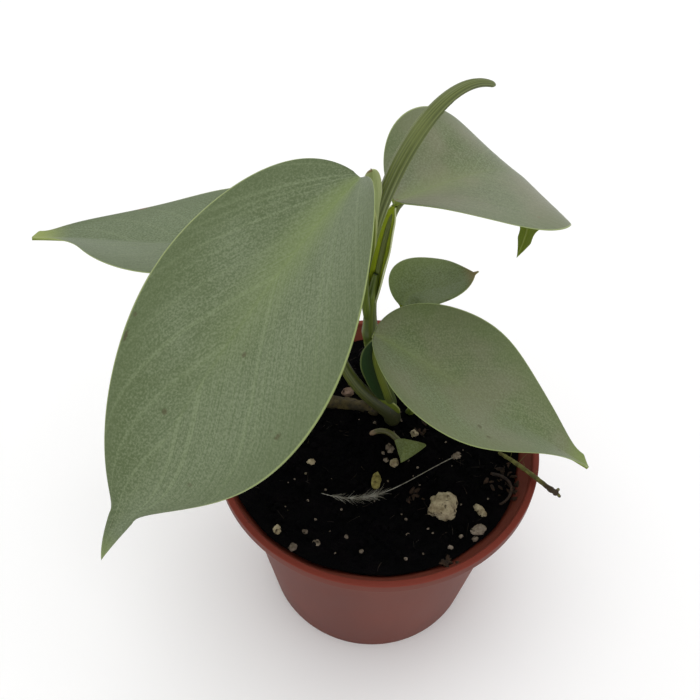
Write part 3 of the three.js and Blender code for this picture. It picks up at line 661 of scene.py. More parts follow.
leaves = {
    "frontLeaf": {
        "node": "front_leaf",
        "midrib": [(-7.4, -1.4, 104.1), (-23.5, -14.7, 95.3), (-58.2, -59.6, 62.2), (-68, -59.3, 33.5)],
        "facing": [(-0.49, 0.03, 0.87), (-0.48, -0.475, 1.21), (0.05, -1, -0.05)],
        "widths": (31, 27),
        "shape": {"baseRoundness": 0.54, "fullness": 1.86, "taper": 1.02, "bodyEnd": 0.84, "tipWidth": 0.1},
        "fold": (0.35, -0.07),
        "cup": (0.1, -0.22),
        "lobe": 2,
        "ripple": (0.35, 2.3, 0.5),
        "petiole": [(-3.9, 10.9, 45), (-6.4, 9.4, 58), (-6.5, 4, 80), (-6, 1.5, 94)],
        "footSwell": 0.95,
        "stalkRadius": 1.3,
        "sheath": {
            "from": 0.3,
            "to": 0.94,
            "innerRadius": 2.3,
            "wrap": 1.7,
            "opensTowards": (0.9, 0.5, 0),
        },
        "ligule": {
            "midrib": [(-4.8, 2.8, 80), (-3.2, 1.6, 92), (-5.3, 0.6, 105.2)],
            "facing": [(0.35, -0.9, 0.2), (0.3, -0.9, 0.3)],
            "widths": (2.3, 2.3),
            "shape": {"baseRoundness": 0.4, "fullness": 9, "taper": 0.5, "bodyEnd": 0.985, "tipWidth": 0.05},
            "fold": (-0.4, -0.25),
            "cup": (0, 0),
            "lobe": 0,
        },
        "look": {
            "green": shade(83, 97, 58),
            "silver": shade(106, 118, 87),
            "sideLightLean": -0.3,
            "veins": 0.5,
            "rib": shade(126, 144, 78),
            "ribWidth": 0.36,
            "ribStrength": 0.62,
            "ribFade": 0.62,
            "scars": [(0.95, 0.54, 0.03, 0.75), (-0.82, 0.51, 0.022, 0.6), (0.4, 0.86, 0.05, 0.4)],
        },
    },
    "leftBackLeaf": {
        "node": "left_back_leaf",
        "midrib": [(-15, 19, 80.5), (-48, 9, 67.5), (-75, 36, 53.5), (-99.5, 23, 63.5)],
        "facing": [(-0.4, 0, 0.9), (-0.25, 0.3, 1), (0.1, 0.45, 0.9)],
        "widths": (24.2, 22.2),
        "shape": {"baseRoundness": 0.47, "fullness": 2.2, "taper": 0.94, "bodyEnd": 0.97, "tipWidth": 0.17},
        "fold": (0.2, 0.2),
        "cup": (0, 0.05),
        "lobe": 3,
        "ripple": (0.3, 2.0, 1.2),
        "petiole": [(5.2, 7.5, 2), (5, 4.5, 14), (-1, 3.8, 19), (-22, 4, 18), (-22, 14, 50), (-12, 19, 76)],
        "stalkRadius": 1.4,
        "footSwell": 2.3,
        "sheath": {
            "from": 0.02,
            "to": 0.3,
            "innerRadius": 2.5,
            "wrap": 1.7,
            "opensTowards": (0.6, 0.9, 0.3),
        },
        "look": {
            "silver": shade(99, 113, 81),
            "green": shade(84, 98, 62),
            "tip": shade(152, 164, 76),
            "veins": 0.32,
            "ribFade": 0.4,
            "ribStrength": 0.4,
            "scars": [(0.98, 0.69, 0.045, 0.95)],
            "speck": shade(112, 74, 34),
        },
    },
    "upperRightLeaf": {
        "node": "upper_right_leaf",
        "midrib": [(0.7, 10, 88.7), (18, 21, 87.5), (37, 34, 92.5), (48, 40, 73.5), (41, 35, 49.5)],
        "facing": [(0, 0, 0.65), (1.2, 0.4, 0.7), (0.4, 0.7, 0)],
        "widths": (23, 28.1),
        "shape": {"baseRoundness": 0.54, "fullness": 1.38, "taper": 1.25, "bodyEnd": 0.93, "tipWidth": 0.09},
        "fold": (0.5, -0.45),
        "cup": (0, 0),
        "lobe": 0,
        "ripple": (0.25, 2.0, 0.2),
        "petiole": [(-3.6, 12, 48), (-1.6, 12.5, 66), (-0.2, 10.5, 80)],
        "ridgeEnd": 0.05,
        "stalkRadius": 1.0,
        "sheath": {
            "from": 0.0,
            "to": 0.88,
            "innerRadius": 2.4,
            "wrap": 1.8,
            "opensTowards": (-0.5, -0.85, 0),
        },
        "sheathShades": (shade(146, 162, 20), shade(126, 142, 30), shade(206, 212, 168)),
        "look": {
            "silverShare": 0.62,
            "silver": shade(110, 117, 90),
            "green": shade(88, 101, 58),
            "paintedSheen": 0.5,
            "veins": 0.28,
            "ribWidth": 0.3,
            "ribFade": 0.5,
            "ribStrength": 0.5,
            "scars": [(0.0, 0.0, 0.05, 0.9)],
            "speck": shade(120, 92, 72),
        },
    },
    "smallLeaf": {
        "node": "small_leaf",
        "midrib": [(6, 19, 43.5), (8, 28, 45.5), (17, 21, 44.5), (27.8, 24, 53.7)],
        "facing": [(0.3, -0.2, 0.8), (0.25, 0, 0.8), (0.35, 0, 0.9)],
        "widths": (12, 9.2),
        "shape": {"baseRoundness": 0.53, "fullness": 2.3, "taper": 0.8, "bodyEnd": 0.97, "tipWidth": 0.05},
        "fold": (0.25, 0.1),
        "cup": (0, 0),
        "lobe": 0,
        "ripple": (0.2, 1.5, 0.8),
        "petiole": [(0, 13.5, 20), (3.5, 15, 27), (6, 17, 36)],
        "stalkRadius": 0.9,
        "look": {
            "silverShare": 0.5,
            "green": shade(106, 122, 66),
            "tip": shade(136, 110, 70),
            "veins": 0.2,
            "ribFade": 0.6,
            "ribStrength": 0.4,
        },
    },
    "lowerRightLeaf": {
        "node": "lower_right_leaf",
        "midrib": [(-3, 0, 51.5), (17, -5, 42.5), (36, -12, 30.5), (59, -22, 21.5)],
        "facing": [(0.4, -0.1, 0.9), (0.4, -0.5, 0.9), (0.45, 0.35, 0.8)],
        "widths": (19.1, 22),
        "shape": {"baseRoundness": 0.5, "fullness": 1.35, "taper": 0.95, "bodyEnd": 0.97, "tipWidth": 0.17},
        "fold": (0.25, 0.3),
        "cup": (0.05, 0.15),
        "lobe": 1,
        "ripple": (0.3, 2.4, 1.9),
        "petiole": [(4.5, 7, 9), (1.5, 4.5, 25), (-5, 2.5, 42)],
        "stalkRadius": 1.2,
        "sheath": {
            "from": 0.03,
            "to": 0.88,
            "innerRadius": 3.6,
            "wrap": 1.5,
            "opensTowards": (-0.8, 0.6, 0.2),
        },
        # painted shade: near black greens for this sheath, which sits in deep shade behind the leaves
        "sheathShades": (shade(28, 46, 20), shade(34, 56, 26), shade(84, 98, 50)),
        "look": {
            "silverShare": 0.5,
            "green": shade(96, 110, 64),
            "silver": shade(108, 118, 86),
            "paintedSheen": 0.4,
            "veins": 0.28,
            "ribWidth": 0.25,
            "ribFade": 0.6,
            "ribStrength": 0.35,
        },
    },
}


def bladeProfile(shape):
    # half width at each share of the midrib, 1 at its widest, ending in a drip tip

    def body(t):
        rest = 1 - min(t / shape["bodyEnd"], 1) ** shape["fullness"]
        return t ** shape["baseRoundness"] * max(rest, 0) ** shape["taper"]

    widest = max(body(i / 200) for i in range(201))

    def width(t):
        tail = shape["tipWidth"] * clamp01((1 - t) / (1 - shape["bodyEnd"])) * clamp01(t / 0.3)
        return ((body(t) / widest) ** 3 + tail ** 3) ** (1 / 3)

    return width


def bladeFrame(leaf, midrib, t):
    along = directionAt(midrib, t)
    face = bezierAt(leaf["facing"], t)
    up = (face - along * face.dot(along)).normalized()
    return bezierAt(midrib, t), along, up, along.cross(up)


bladeTop, bladeUnder, stalkPart, sheathPart, ligulePart = range(5)  # material numbers


def addBlade(shell, leaf, midrib, scale, top=bladeTop, under=bladeUnder):
    # two skins that meet in a rounded margin, with the midrib standing out below
    profile = bladeProfile(leaf["shape"])
    rows, columns = blade["rows"], blade["columns"]
    upper, lower = [], []
    ripple, waves, phase = leaf.get("ripple", (0, 1, 0))
    shares = []
    for i in range(rows + 1):
        eased = 0.5 - 0.5 * math.cos(math.pi * i / rows)
        shares.append(mix(0.003, 0.998, mix(i / rows, eased, blade["rowCrowding"])))
    sides = []
    for j in range(columns + 1):
        even = 2 * j / columns - 1
        sides.append(mix(even, math.sin(even * math.pi / 2), blade["columnCrowding"]))
    for t in shares:
        centre, along, up, side = bladeFrame(leaf, midrib, t)
        fold = mix(leaf["fold"][0], leaf["fold"][1], t)
        cup = mix(leaf["cup"][0], leaf["cup"][1], t)
        width = profile(t)
        lobe = leaf["lobe"] * width * clamp01(1 - t / 0.3) ** 1.5
        ribSize = mix(1, 0.25, t) * scale
        upperRow, lowerRow = [], []
        for s in sides:
            reach = abs(s)
            half = leaf["widths"][1 if s > 0 else 0] * width
            wave = ripple * reach ** 2 * math.sin(2 * math.pi * waves * t + phase + s) * clamp01(width * 2)
            veinTurn = 2 * math.pi * blade["veinCount"] * (t - blade["veinSlant"] * reach)
            vein = blade["veinRelief"] * scale * math.cos(veinTurn)
            vein *= clamp01(reach * 4) * clamp01((1 - reach) * 6) * clamp01(width * 1.5)
            lift = half * (fold * reach + cup * reach * reach) + wave + vein
            middle = centre + side * s * half + up * lift
            middle -= along * lobe * reach * reach
            rounding = math.sqrt(max(0, 1 - reach ** blade["marginPower"]))
            thick = mix(blade["thickness"], blade["marginThickness"], reach) / 2 * rounding
            rib = math.exp(-((s * half / (blade["ribWidth"] * ribSize)) ** 2))
            upperRow.append(middle + up * (thick - blade["groove"] * ribSize * rib * clamp01(width * 2)))
            lowerRow.append(middle - up * (thick + blade["ribDepth"] * ribSize * rib))
        upper.append(upperRow)
        lower.append(lowerRow)

    def pattern(i, j):
        return (sides[j] + 1) / 2, shares[i]

    shell.grid(upper, top, pattern)
    shell.grid(lower, under, pattern, flip=True)
    for end in (0, -1):
        skins = [upper[end], lower[end]]
        shell.grid(skins, under, lambda i, j, end=end: ((sides[j] + 1) / 2, shares[end]), flip=end == 0)


def addSheath(shell, spine, sheath):
    # an open channel with thin rounded edges, whose back wall follows the petiole
    steps, columns = blade["sheathSteps"], blade["sheathColumns"]
    opening = Vector(sheath["opensTowards"])
    wall = blade["sheathWall"]
    outer, inner = [], []
    for i in range(steps + 1):
        share = i / steps
        t = mix(sheath["from"], sheath["to"], share)
        along = directionAt(spine, t)
        front = (opening - along * opening.dot(along)).normalized()
        side = along.cross(front)
        radius = sheath["innerRadius"] * math.sin(math.pi * mix(0.1, 0.93, share))
        wrap = sheath["wrap"] * mix(1, 0.55, share ** 1.5)
        centre = bezierAt(spine, t) + front * (radius + wall / 2)
        outerRow, innerRow = [], []
        for j in range(columns + 1):
            across = 2 * j / columns - 1
            angle = wrap * across + math.pi
            out = front * math.cos(angle) + side * math.sin(angle)
            thin = wall * math.sqrt(max(0, 1 - abs(across) ** 6)) / 2
            edge = 0.12 * math.sin(share * 21 + across * 3) * abs(across) ** 3
            outerRow.append(centre + out * (radius + wall / 2 + thin + edge))
            innerRow.append(centre + out * max(0.1, radius + wall / 2 - thin + edge))
        outer.append(outerRow)
        inner.append(innerRow)

    def pattern(i, j):
        return j / columns, i / steps

    shell.grid(outer, sheathPart, pattern)
    shell.grid(inner, sheathPart, pattern, flip=True)
    for end in (0, -1):
        skins = [outer[end], inner[end]]
        shell.grid(skins, sheathPart, lambda i, j: (j / columns, 0.0), flip=end == 0)


def buildLeaf(name, leaf, finishes):
    shell = Shell()
    midrib = aboveSoil(leaf["midrib"])
    scale = mix(0.45, 1, clamp01(leaf["widths"][0] / blade["fullWidth"]))
    addBlade(shell, leaf, midrib, scale)
    petiole = aboveSoil(leaf["petiole"])
    ribDrop = blade["ribDepth"] * scale
    ridge = []
    for share in (0.0, 0.45, 1.0):
        centre, _, up, _ = bladeFrame(leaf, midrib, share * leaf.get("ridgeEnd", 0.16))
        ridge.append(centre - up * ribDrop * mix(0.55, 0.8, share))
    spine = petiole + ridge
    stalk = leaf["stalkRadius"]

    def radiusAt(t, angle):
        swell = mix(leaf.get("footSwell", 1.2), 0.95, math.sqrt(clamp01(t * 1.6)))
        neck = swell * mix(1, 0.35, clamp01((t - 0.8) / 0.2) ** 1.5)
        return stalk * neck * roundEnds(t, 0.03)

    addTube(shell, spine, radiusAt, 60, 16, stalkPart)
    if "sheath" in leaf:
        addSheath(shell, petiole + [ridge[0], ridge[0].lerp(ridge[1], 0.5)], leaf["sheath"])
    if "ligule" in leaf:
        ligule = leaf["ligule"]
        addBlade(shell, ligule, aboveSoil(ligule["midrib"]), 0.15, ligulePart, ligulePart)
    shell.piece(name, finishes, [leaf["node"]])


def buildLeaves():
    under = leafUnder()
    # the third colour of these stalks is painted shade at their foot, where the leaves shade them near the
    # soil
    stalk = stalkFinish(
        "petioleGreen", shade(106, 116, 40), shade(78, 90, 26), shade(34, 46, 24), footEnd=0.16
    )
    stump = stalkFinish(
        "stumpGreen", shade(98, 106, 38), shade(62, 72, 24), shade(36, 38, 18), wear=0.55, footEnd=0.42
    )
    bough = stalkFinish(
        "boughGreen", shade(98, 112, 34), shade(72, 88, 26), shade(66, 80, 26), footEnd=0.08
    )
    stalks = {"leftBackLeaf": stump, "frontLeaf": bough}
    ligule = sheathFinish(
        "ligulePale", shade(136, 148, 92), shade(154, 164, 112), shade(176, 182, 138), dryTip=0.8
    )
    plainSheath = (shade(74, 90, 22), shade(92, 104, 30), shade(146, 154, 92))
    for name, leaf in leaves.items():
        top = leafTop(name + "Top", leaf["look"])
        sheath = sheathFinish(name + "Sheath", *leaf.get("sheathShades", plainSheath))
        buildLeaf(name, leaf, [top, under, stalks.get(name, stalk), sheath, ligule])
        print("grown", name)


rolledLeaf = {
    "path": [(-4.2, 6, 77), (-3.8, 3, 90), (-2, 2.5, 99), (3.6, 6, 115), (12.4, 9, 125), (22, 15, 118)],
    "radius": 1.9,
    "tipRadius": 0.42,
    "flutes": 9,
    "fluteDepth": 0.05,
    "lip": 0.22,  # height of the step at the outer edge of the roll, as a share of the radius
    "twist": 0.35,
}


def buildRolledLeaf():
    shell = Shell()

    def radiusAt(t, angle):
        belly = math.sin(math.pi * mix(0.08, 0.98, t)) ** 0.8
        radius = mix(rolledLeaf["tipRadius"], rolledLeaf["radius"], belly)
        turn = (angle / (2 * math.pi) + t * rolledLeaf["twist"]) % 1
        roll = rolledLeaf["lip"] * (turn - 0.5) * clamp01(belly * 1.4 - 0.3)
        flute = rolledLeaf["fluteDepth"] * math.cos(rolledLeaf["flutes"] * angle + 2 * t)
        return radius * (1 + roll + flute) * roundEnds(t, 0.015)

    addTube(shell, aboveSoil(rolledLeaf["path"]), radiusAt, 130, 60)
    green = stalkFinish(
        "rolledLeafGreen", shade(106, 116, 58), shade(74, 84, 32), shade(100, 112, 46), lines=20, wear=0.1
    )
    shell.piece("rolledNewLeaf", [green], ["rolled_new_leaf"])
    print("grown rolledNewLeaf")


stem = {
    "path": [(6, 11, -28), (6.5, 11, 4), (3, 12, 16), (-6.5, 12, 32), (-4, 11, 48), (-2.6, 10.8, 64)],
    "footRadius": 3.0,
    "topRadius": 2.0,
    "nodeSwell": 0.35,
    "nodeCount": 5,
    "slimFrom": 0.72,  # share of the length from which the stem grows slimmer
    "slimRate": 3.6,
    "slimTo": 0.45,
}

cutting = {
    # distances from the stem, and height above the soil
    "path": [(-25, 5.5, 0.4), (-18, 4, 0.9), (-11, 2.6, 1), (-4.5, 1.2, 0.6)],
    "radius": 2.2,
}

shoot = {
    "path": [(4.4, 1.6, -3), (5, 1, 2), (6.4, 0, 4.5)],
    "radius": 1.7,
}

bract = {
    "midrib": [(7.6, -8.1, 0.9), (8.2, -4.6, 1.8), (8.6, -1.6, 4.2)],
    "facing": [(0.2, -0.6, 0.8), (0, -0.7, 0.7)],
    "widths": (3.2, 6.3),
    "shape": {"baseRoundness": 0.9, "fullness": 14, "taper": 0.4, "bodyEnd": 0.995, "tipWidth": 0.1},
    "fold": (0.35, 0.5),
    "cup": (0.1, 0.3),
    "lobe": 0,
    "ripple": (0.2, 2, 0.4),
    "stalk": [(-2.3, 2.2, 1), (0.6, 3.4, 2), (4.4, 2.8, 3.6), (8.2, -3.9, 2.6)],
    "stalkRadius": (0.8, 1.05),
    "look": {
        "green": shade(82, 94, 34),
        "silver": shade(100, 112, 46),
        "rib": shade(118, 130, 66),
        "edge": shade(128, 134, 84),
        "tip": shade(98, 108, 54),
        "veins": 0.3,
        "paintedSheen": 0.15,
    },
}


def fromStem(x, y, above):
    return onSoil(soil["stem"][0] + x, soil["stem"][1] + y, above)


def woodyFinish(name, pale, deep, spot):
    finish = Finish(name, {"Specular IOR Level": 0.3})
    patch = finish.noise(260.0, 3.0)
    grain = finish.noise(1500.0, 3.0, 0.65)
    dots = finish.node("TexVoronoi", {}, {"Vector": finish.place(), "Scale": 500.0, "Randomness": 1.0})
    body = finish.blend(finish.steps(patch, 0.35, 0.65), deep, pale)
    body = finish.blend(finish.steps(grain, 0.45, 0.7) * 0.5, body, deep)
    body = finish.blend(finish.steps(dots, 0.3, 0.14) * 0.7, body, spot)
    finish.colour(body)
    finish.rough(0.6 + grain * 0.25)
    finish.relief(grain + patch * 0.4, 0.3, 0.8)
    return finish


def buildStem(green):
    shell = Shell()

    def radiusAt(t, angle):
        node = abs(math.sin(math.pi * stem["nodeCount"] * t)) ** 14
        scar = 0.12 * math.sin(3 * angle + 4 * t) * node
        slim = mix(1, stem["slimTo"], clamp01((t - stem["slimFrom"]) * stem["slimRate"]))
        plain = mix(stem["footRadius"], stem["topRadius"], t) * slim + stem["nodeSwell"] * node + scar
        return plain * math.sqrt(clamp01((1.03 - t) / 0.05)) * math.sqrt(clamp01((t + 0.004) / 0.03))

    addTube(shell, aboveSoil(stem["path"]), radiusAt, 150, 28)
    shell.piece("mainStem", [green], ["main_stem"])
    print("grown stem")


def buildCutting():
    shell = Shell()

    def radiusAt(t, angle):
        rings = 0.035 * math.sin(t * 37 + math.sin(t * 11)) + 0.1 * math.sin(9 * t)
        lumps = 0.2 * noise.noise(Vector((math.cos(angle), math.sin(angle), t * 7)) * 1.3)
        return cutting["radius"] * (1 + rings + lumps) * roundEnds(t, 0.05)

    addTube(shell, [fromStem(*p) for p in cutting["path"]], radiusAt, 90, 30)
    tan = woodyFinish("cuttingTan", shade(70, 60, 28), shade(36, 31, 15), shade(24, 18, 11))
    shell.piece("oldStemCutting", [tan], ["old_stem_cutting"])
    print("laid old cutting")


def buildShoot(green):
    shell = Shell()

    def radiusAt(t, angle):
        return shoot["radius"] * math.sqrt(clamp01(1.02 - t)) * (1 + 0.05 * math.sin(5 * angle + 3 * t))

    addTube(shell, [fromStem(*p) for p in shoot["path"]], radiusAt, 40, 24)
    shell.piece("basalShoot", [green], ["basal_shoot"])
    print("grown shoot")


def buildBract():
    shell = Shell()
    addBlade(shell, bract, [onSoil(*p) for p in bract["midrib"]], 0.3)
    first, last = bract["stalkRadius"]
    bend = [onSoil(*p) for p in bract["stalk"]]
    addTube(shell, bend, lambda t, angle: mix(first, last, t) * roundEnds(t, 0.08), 40, 16, stalkPart)
    top = leafTop("bractTop", bract["look"])
    brown = stalkFinish("bractBrown", shade(92, 92, 50), shade(66, 62, 34), shade(128, 104, 84))
    shell.piece("curledBract", [top, leafUnder(), brown], ["curled_bract"])
    print("laid bract")


overRim = potTop - soilLevel + clearance
roots = {
    "overhangingRoot": {
        "node": "overhanging_root",
        "path": [
            byRim(-4, -12, 0.2),
            byRim(-11, -8.5, 4.6),
            byRim(-17, -2.6, overRim + 2.6),
            byRim(-22, 3.8, overRim + 2.6),
            byRim(-20, 6.4, overRim - 0.4),
        ],
        "radius": (0.6, 0.75),
    },
    "rimRoot": {
        "node": "rim_root",
        "path": [byRim(-17, -14, 0.4), byRim(-16, -5.5, 2.4), byRim(-27, -4.5, 2), byRim(-31, -8, 0.5)],
        "radius": (0.5, 0.35),
    },
    "surfaceFibre": {
        "node": "surface_fibre",
        "path": [
            acrossSoil(-131, 0.51, 0.8),
            acrossSoil(-110, 0.47, 1.4),
            acrossSoil(-85, 0.45, 1.2),
            acrossSoil(-57, 0.33, 1.4),
            acrossSoil(-12, 0.49, 0.9),
        ],
        "radius": (0.11, 0.13),
    },
}

fibreHairs = {
    "count": 150,
    "tufts": (0.16, 0.3, 0.36, 0.42),  # places along the fibre where its hairs are thickest
    "spread": 0.08,
    "length": (1.5, 4.5),
    "radius": 0.06,
}


def rootFinish(name, pale, deep, end):
    finish = Finish(name, {"Specular IOR Level": 0.3})
    along = finish.pattern()[1]
    patch = finish.noise(420.0, 3.0)
    grain = finish.noise(2200.0, 2.0)
    body = finish.blend(finish.steps(patch, 0.35, 0.65), deep, pale)
    body = finish.blend(finish.steps(along + (patch - 0.5) * 0.2, 0.62, 0.8), body, end)
    body = finish.blend(finish.steps(grain, 0.5, 0.75) * 0.4, body, deep)
    finish.colour(body)
    finish.rough(0.55 + grain * 0.3)
    finish.relief(grain + patch, 0.2, 0.8)
    return finish


def addHair(shell, start, heading, length, radius, bend, seed):
    # a thin curved thread with a pointed end
    points = [start]
    here = heading.normalized()
    for i in range(3):
        here = (here + noise.noise_vector(start * 3.1 + Vector((seed, i, 0))) * bend).normalized()
        points.append(points[-1] + here * length / 3)
    addTube(shell, points, lambda t, angle: radius * mix(1, 0.3, t), 6, 5)


def addForkedEnd(shell, path):
    end = bezierAt(path, 0.97)
    heading = directionAt(path, 0.97)
    aside = heading.cross(Vector((0, 0, 1))).normalized()
    for lean, length in ((-0.9, 2.2), (0.7, 1.7)):
        tip = end + (heading + aside * lean) * length
        bend = end.lerp(tip, 0.5) + Vector((0, 0, 0.4))
        addTube(shell, [end, bend, tip], lambda t, angle: 0.5 * roundEnds(t, 0.2), 12, 10)


def addRootHairs(shell, path, draws):
    for i in range(4):
        start = bezierAt(path, 0.2 + 0.12 * i)
        up = Vector((draws.uniform(-0.4, 0.4), draws.uniform(-0.3, 0.5), 1))
        addHair(shell, start, up, draws.uniform(3, 7), 0.07, 0.3, i)


def addFibreHairs(shell, path, draws):
    for i in range(fibreHairs["count"]):
        t = draws.choice(fibreHairs["tufts"]) + draws.uniform(-fibreHairs["spread"], fibreHairs["spread"])
        start = bezierAt(path, t)
        forward = directionAt(path, t)
        aside = forward.cross(Vector((0, 0, 1))) * draws.choice((-1, 1, 1))
        heading = forward * draws.uniform(0.6, 1.4) + aside * draws.uniform(0.1, 0.7)
        length = draws.uniform(*fibreHairs["length"])
        heading += Vector((0, 0, draws.uniform(-0.15, 0.2)))
        addHair(shell, start, heading, length, fibreHairs["radius"], 0.5, i)


def buildRoots():
    draws = random.Random(5)
    olive = rootFinish("rootOlive", shade(118, 118, 58), shade(82, 78, 38), shade(52, 40, 26))
    brown = rootFinish("rootBrown", shade(58, 40, 25), shade(32, 22, 15), shade(44, 30, 19))
    pale = rootFinish("fibrePale", shade(150, 148, 138), shade(104, 100, 90), shade(128, 124, 112))
    finishes = {"overhangingRoot": olive, "rimRoot": brown, "surfaceFibre": pale}
    for name, root in roots.items():
        shell = Shell()
        first, last = root["radius"]

        def radiusAt(t, angle, name=name, first=first, last=last):
            lumps = 0.22 * noise.noise(Vector((math.cos(angle), math.sin(angle), t * 9)) * 2.3)
            knot = 0.35 * math.exp(-((t - 0.86) / 0.05) ** 2) + 0.4 * math.exp(-((t - 0.97) / 0.03) ** 2)
            knobs = knot if name == "overhangingRoot" else 0
            return mix(first, last, t) * (1 + lumps + knobs) * roundEnds(t, 0.02)

        addTube(shell, root["path"], radiusAt, 90, 14)
        if name == "overhangingRoot":
            addForkedEnd(shell, root["path"])
            addRootHairs(shell, root["path"], draws)
        if name == "surfaceFibre":
            addFibreHairs(shell, root["path"], draws)
        shell.piece(name, [finishes[name]], [root["node"]])
    print("laid roots and fibre")


grains = {
    # node, place, half sizes, turn
    "perliteLarge": ("perlite_large", acrossSoil(-50, 0.6), (4.3, 3.8, 3.2), 0.4),
    "slowReleasePellet": ("slow_release_pellet", acrossSoil(-91, 0.284), (1.5, 3, 1.4), -0.15),
    "perlite1": ("perlite_1", acrossSoil(16, 0.246), (1.3, 1.2, 1.1), 0.2),
    "perlite2": ("perlite_2", acrossSoil(-32, 0.096), (1.2, 1.7, 1), 0.5),
    "perlite3": ("perlite_3", acrossSoil(-54, 0.184), (1.7, 1.3, 1.1), 1.1),
    "perlite4": ("perlite_4", acrossSoil(-10, 0.504), (1.7, 1.2, 1), 0.5),
    "perlite5": ("perlite_5", acrossSoil(-38, 0.77), (1.2, 2.4, 1), 0.6),
    "perlite6": ("perlite_6", acrossSoil(-46, 0.842), (2.3, 1.6, 1), 0.5),
    "perlite7": ("perlite_7", acrossSoil(-131, 0.872), (1.1, 1.4, 1), 0.2),
    "perlite8": ("perlite_8", acrossSoil(-116, 0.802), (1.3, 1.1, 0.9), 0.8),
    "perlite9": ("perlite_9", acrossSoil(-159, 0.435), (1.1, 1.3, 0.9), 1.4),
    "barkChip": ("bark_chip", fromStem(-15.6, 8.4, 0.3), (2, 1.7, 1.5), 0.2),
}
grainSink = 0.35


def ballOf(detail):
    ball = bmesh.new()
    bmesh.ops.create_icosphere(ball, subdivisions=detail, radius=1)
    points = [v.co.copy() for v in ball.verts]
    faces = [[v.index for v in f.verts] for f in ball.faces]
    ball.free()
    return points, faces


def addLump(shell, ball, centre, half, turn, seed, lumpiness, frequency=1.6):
    points, faces = ball
    start = len(shell.points)
    spin = Matrix.Rotation(turn, 3, "Z")
    for p in points:
        swell = 1 + lumpiness * noise.noise(p * frequency + Vector((seed * 7.1, seed * 3.3, seed)))
        swell += lumpiness * 0.5 * noise.noise(p * frequency * 2.7 + Vector((seed, 9.2, 1.7)))
        shell.points.append(centre + spin @ Vector((p.x * half[0], p.y * half[1], p.z * half[2])) * swell)
    for face in faces:
        shell.faces.append([start + i for i in face])
        shell.numbers.append(0)
        shell.pattern.append([(0, 0)] * 3)


def grainFinish(name, pale, deep, stain):
    finish = Finish(name, {"Specular IOR Level": 0.2})
    patch = finish.noise(420.0, 4.0, 0.6)
    pits = finish.noise(1700.0, 3.0, 0.6)
    dirt = finish.noise(700.0, 3.0)
    body = finish.blend(finish.steps(patch, 0.3, 0.65), deep, pale)
    # painted shade: the pits are darkened with the deep tone, as shade in their hollows
    body = finish.blend(finish.steps(pits, 0.5, 0.3) * 0.7, body, deep)
    body = finish.blend(finish.steps(dirt, 0.56, 0.7), body, stain)
    finish.colour(body)
    finish.rough(0.75 + pits * 0.2)
    finish.relief(pits + patch, 0.5, 0.9)
    return finish


def buildGrains():
    cream = grainFinish("perliteCream", shade(176, 164, 136), shade(126, 112, 86), shade(60, 48, 34))
    greyed = grainFinish("perliteGrey", shade(140, 128, 114), shade(92, 80, 66), shade(34, 27, 20))
    yellow = grainFinish("pelletYellow", shade(146, 138, 80), shade(104, 94, 48), shade(58, 50, 28))
    bark = grainFinish("barkPink", shade(136, 114, 100), shade(92, 72, 58), shade(48, 36, 28))
    finishes = {"perliteLarge": cream, "slowReleasePellet": yellow, "barkChip": bark}
    ball = ballOf(4)
    for seed, (name, (node, place, half, turn)) in enumerate(grains.items()):
        shell = Shell()
        centre = place + Vector((0, 0, half[2] * (1 - 2 * grainSink)))
        lumpiness = 0.16 if name == "slowReleasePellet" else 0.34
        addLump(shell, ball, centre, half, turn, seed + 1.0, lumpiness)
        shell.piece(name, [finishes.get(name, greyed if seed % 2 else cream)], [node])
    print("scattered grains")


soilMesh = {
    "sectors": 300,
    "rings": 100,
    "wallRows": 8,
    "wallGap": 0.35,
    "coarse": 0.75,  # height of the lumps, a few millimetres apart
    "fine": 0.35,
    "crumbs": 1500,
    "topPatchNoise": 70,
    "threads": 130,
    "strays": [
        # turn, share of the way to the rim, size
        (-122, 0.9, 1.2), (-123, 0.765, 0.8), (-105, 0.69, 0.6), (-73, 0.57, 0.4), (-75, 0.67, 0.5),
        (-53, 0.8, 0.6), (-60, 0.83, 0.7), (-97, 0.76, 0.6), (-79, 0.82, 0.5), (-66, 0.14, 0.8),
        (-64, 0.09, 0.55), (45, 0.23, 0.6), (95, 0.14, 0.5), (-15, 0.4, 0.35), (-50, 0.87, 0.8),
    ],
    "debris": [
        # turn, share of the way to the rim, spread
        (-21, 0.77, 2.2), (-20, 0.9, 1.8), (-13, 0.8, 1.6),
        (-59, 0.42, 1.5), (-66, 0.91, 1.3), (20, 0.3, 1.5),
    ],
    "debrisEach": 9,
}


def roughSoil(x, y):
    here = Vector((x, y, 0))
    lumps = noise.noise(here * 0.33) + 0.5 * noise.noise(here * 0.8 + Vector((5, 1, 0)))
    small = noise.noise(here * 2.1) + 0.6 * abs(noise.noise(here * 4.3))
    fromRim = clamp01((innerWallRadius(soilLevel) - math.hypot(x, y)) / 3)
    rough = soilMesh["coarse"] * lumps + soilMesh["fine"] * small
    return soilHeight(x, y) + rough * mix(0.4, 1, fromRim)


def onRoughSoil(x, y, above):
    return Vector((x, y, roughSoil(x, y) + above))


def soilFinish():
    finish = Finish("peatBlack", {"Specular IOR Level": 0.05})
    patch = finish.noise(150.0, 4.0, 0.6)
    grain = finish.noise(1600.0, 4.0, 0.7)
    body = finish.blend(finish.steps(patch, 0.4, 0.7), shade(2, 2, 3), shade(7, 5, 7))
    body = finish.blend(finish.steps(grain, 0.62, 0.8) * 0.6, body, shade(26, 19, 15))
    finish.colour(body)
    finish.rough(0.85 + grain * 0.14)
    finish.relief(grain + patch, 0.6, 1.0)
    return finish


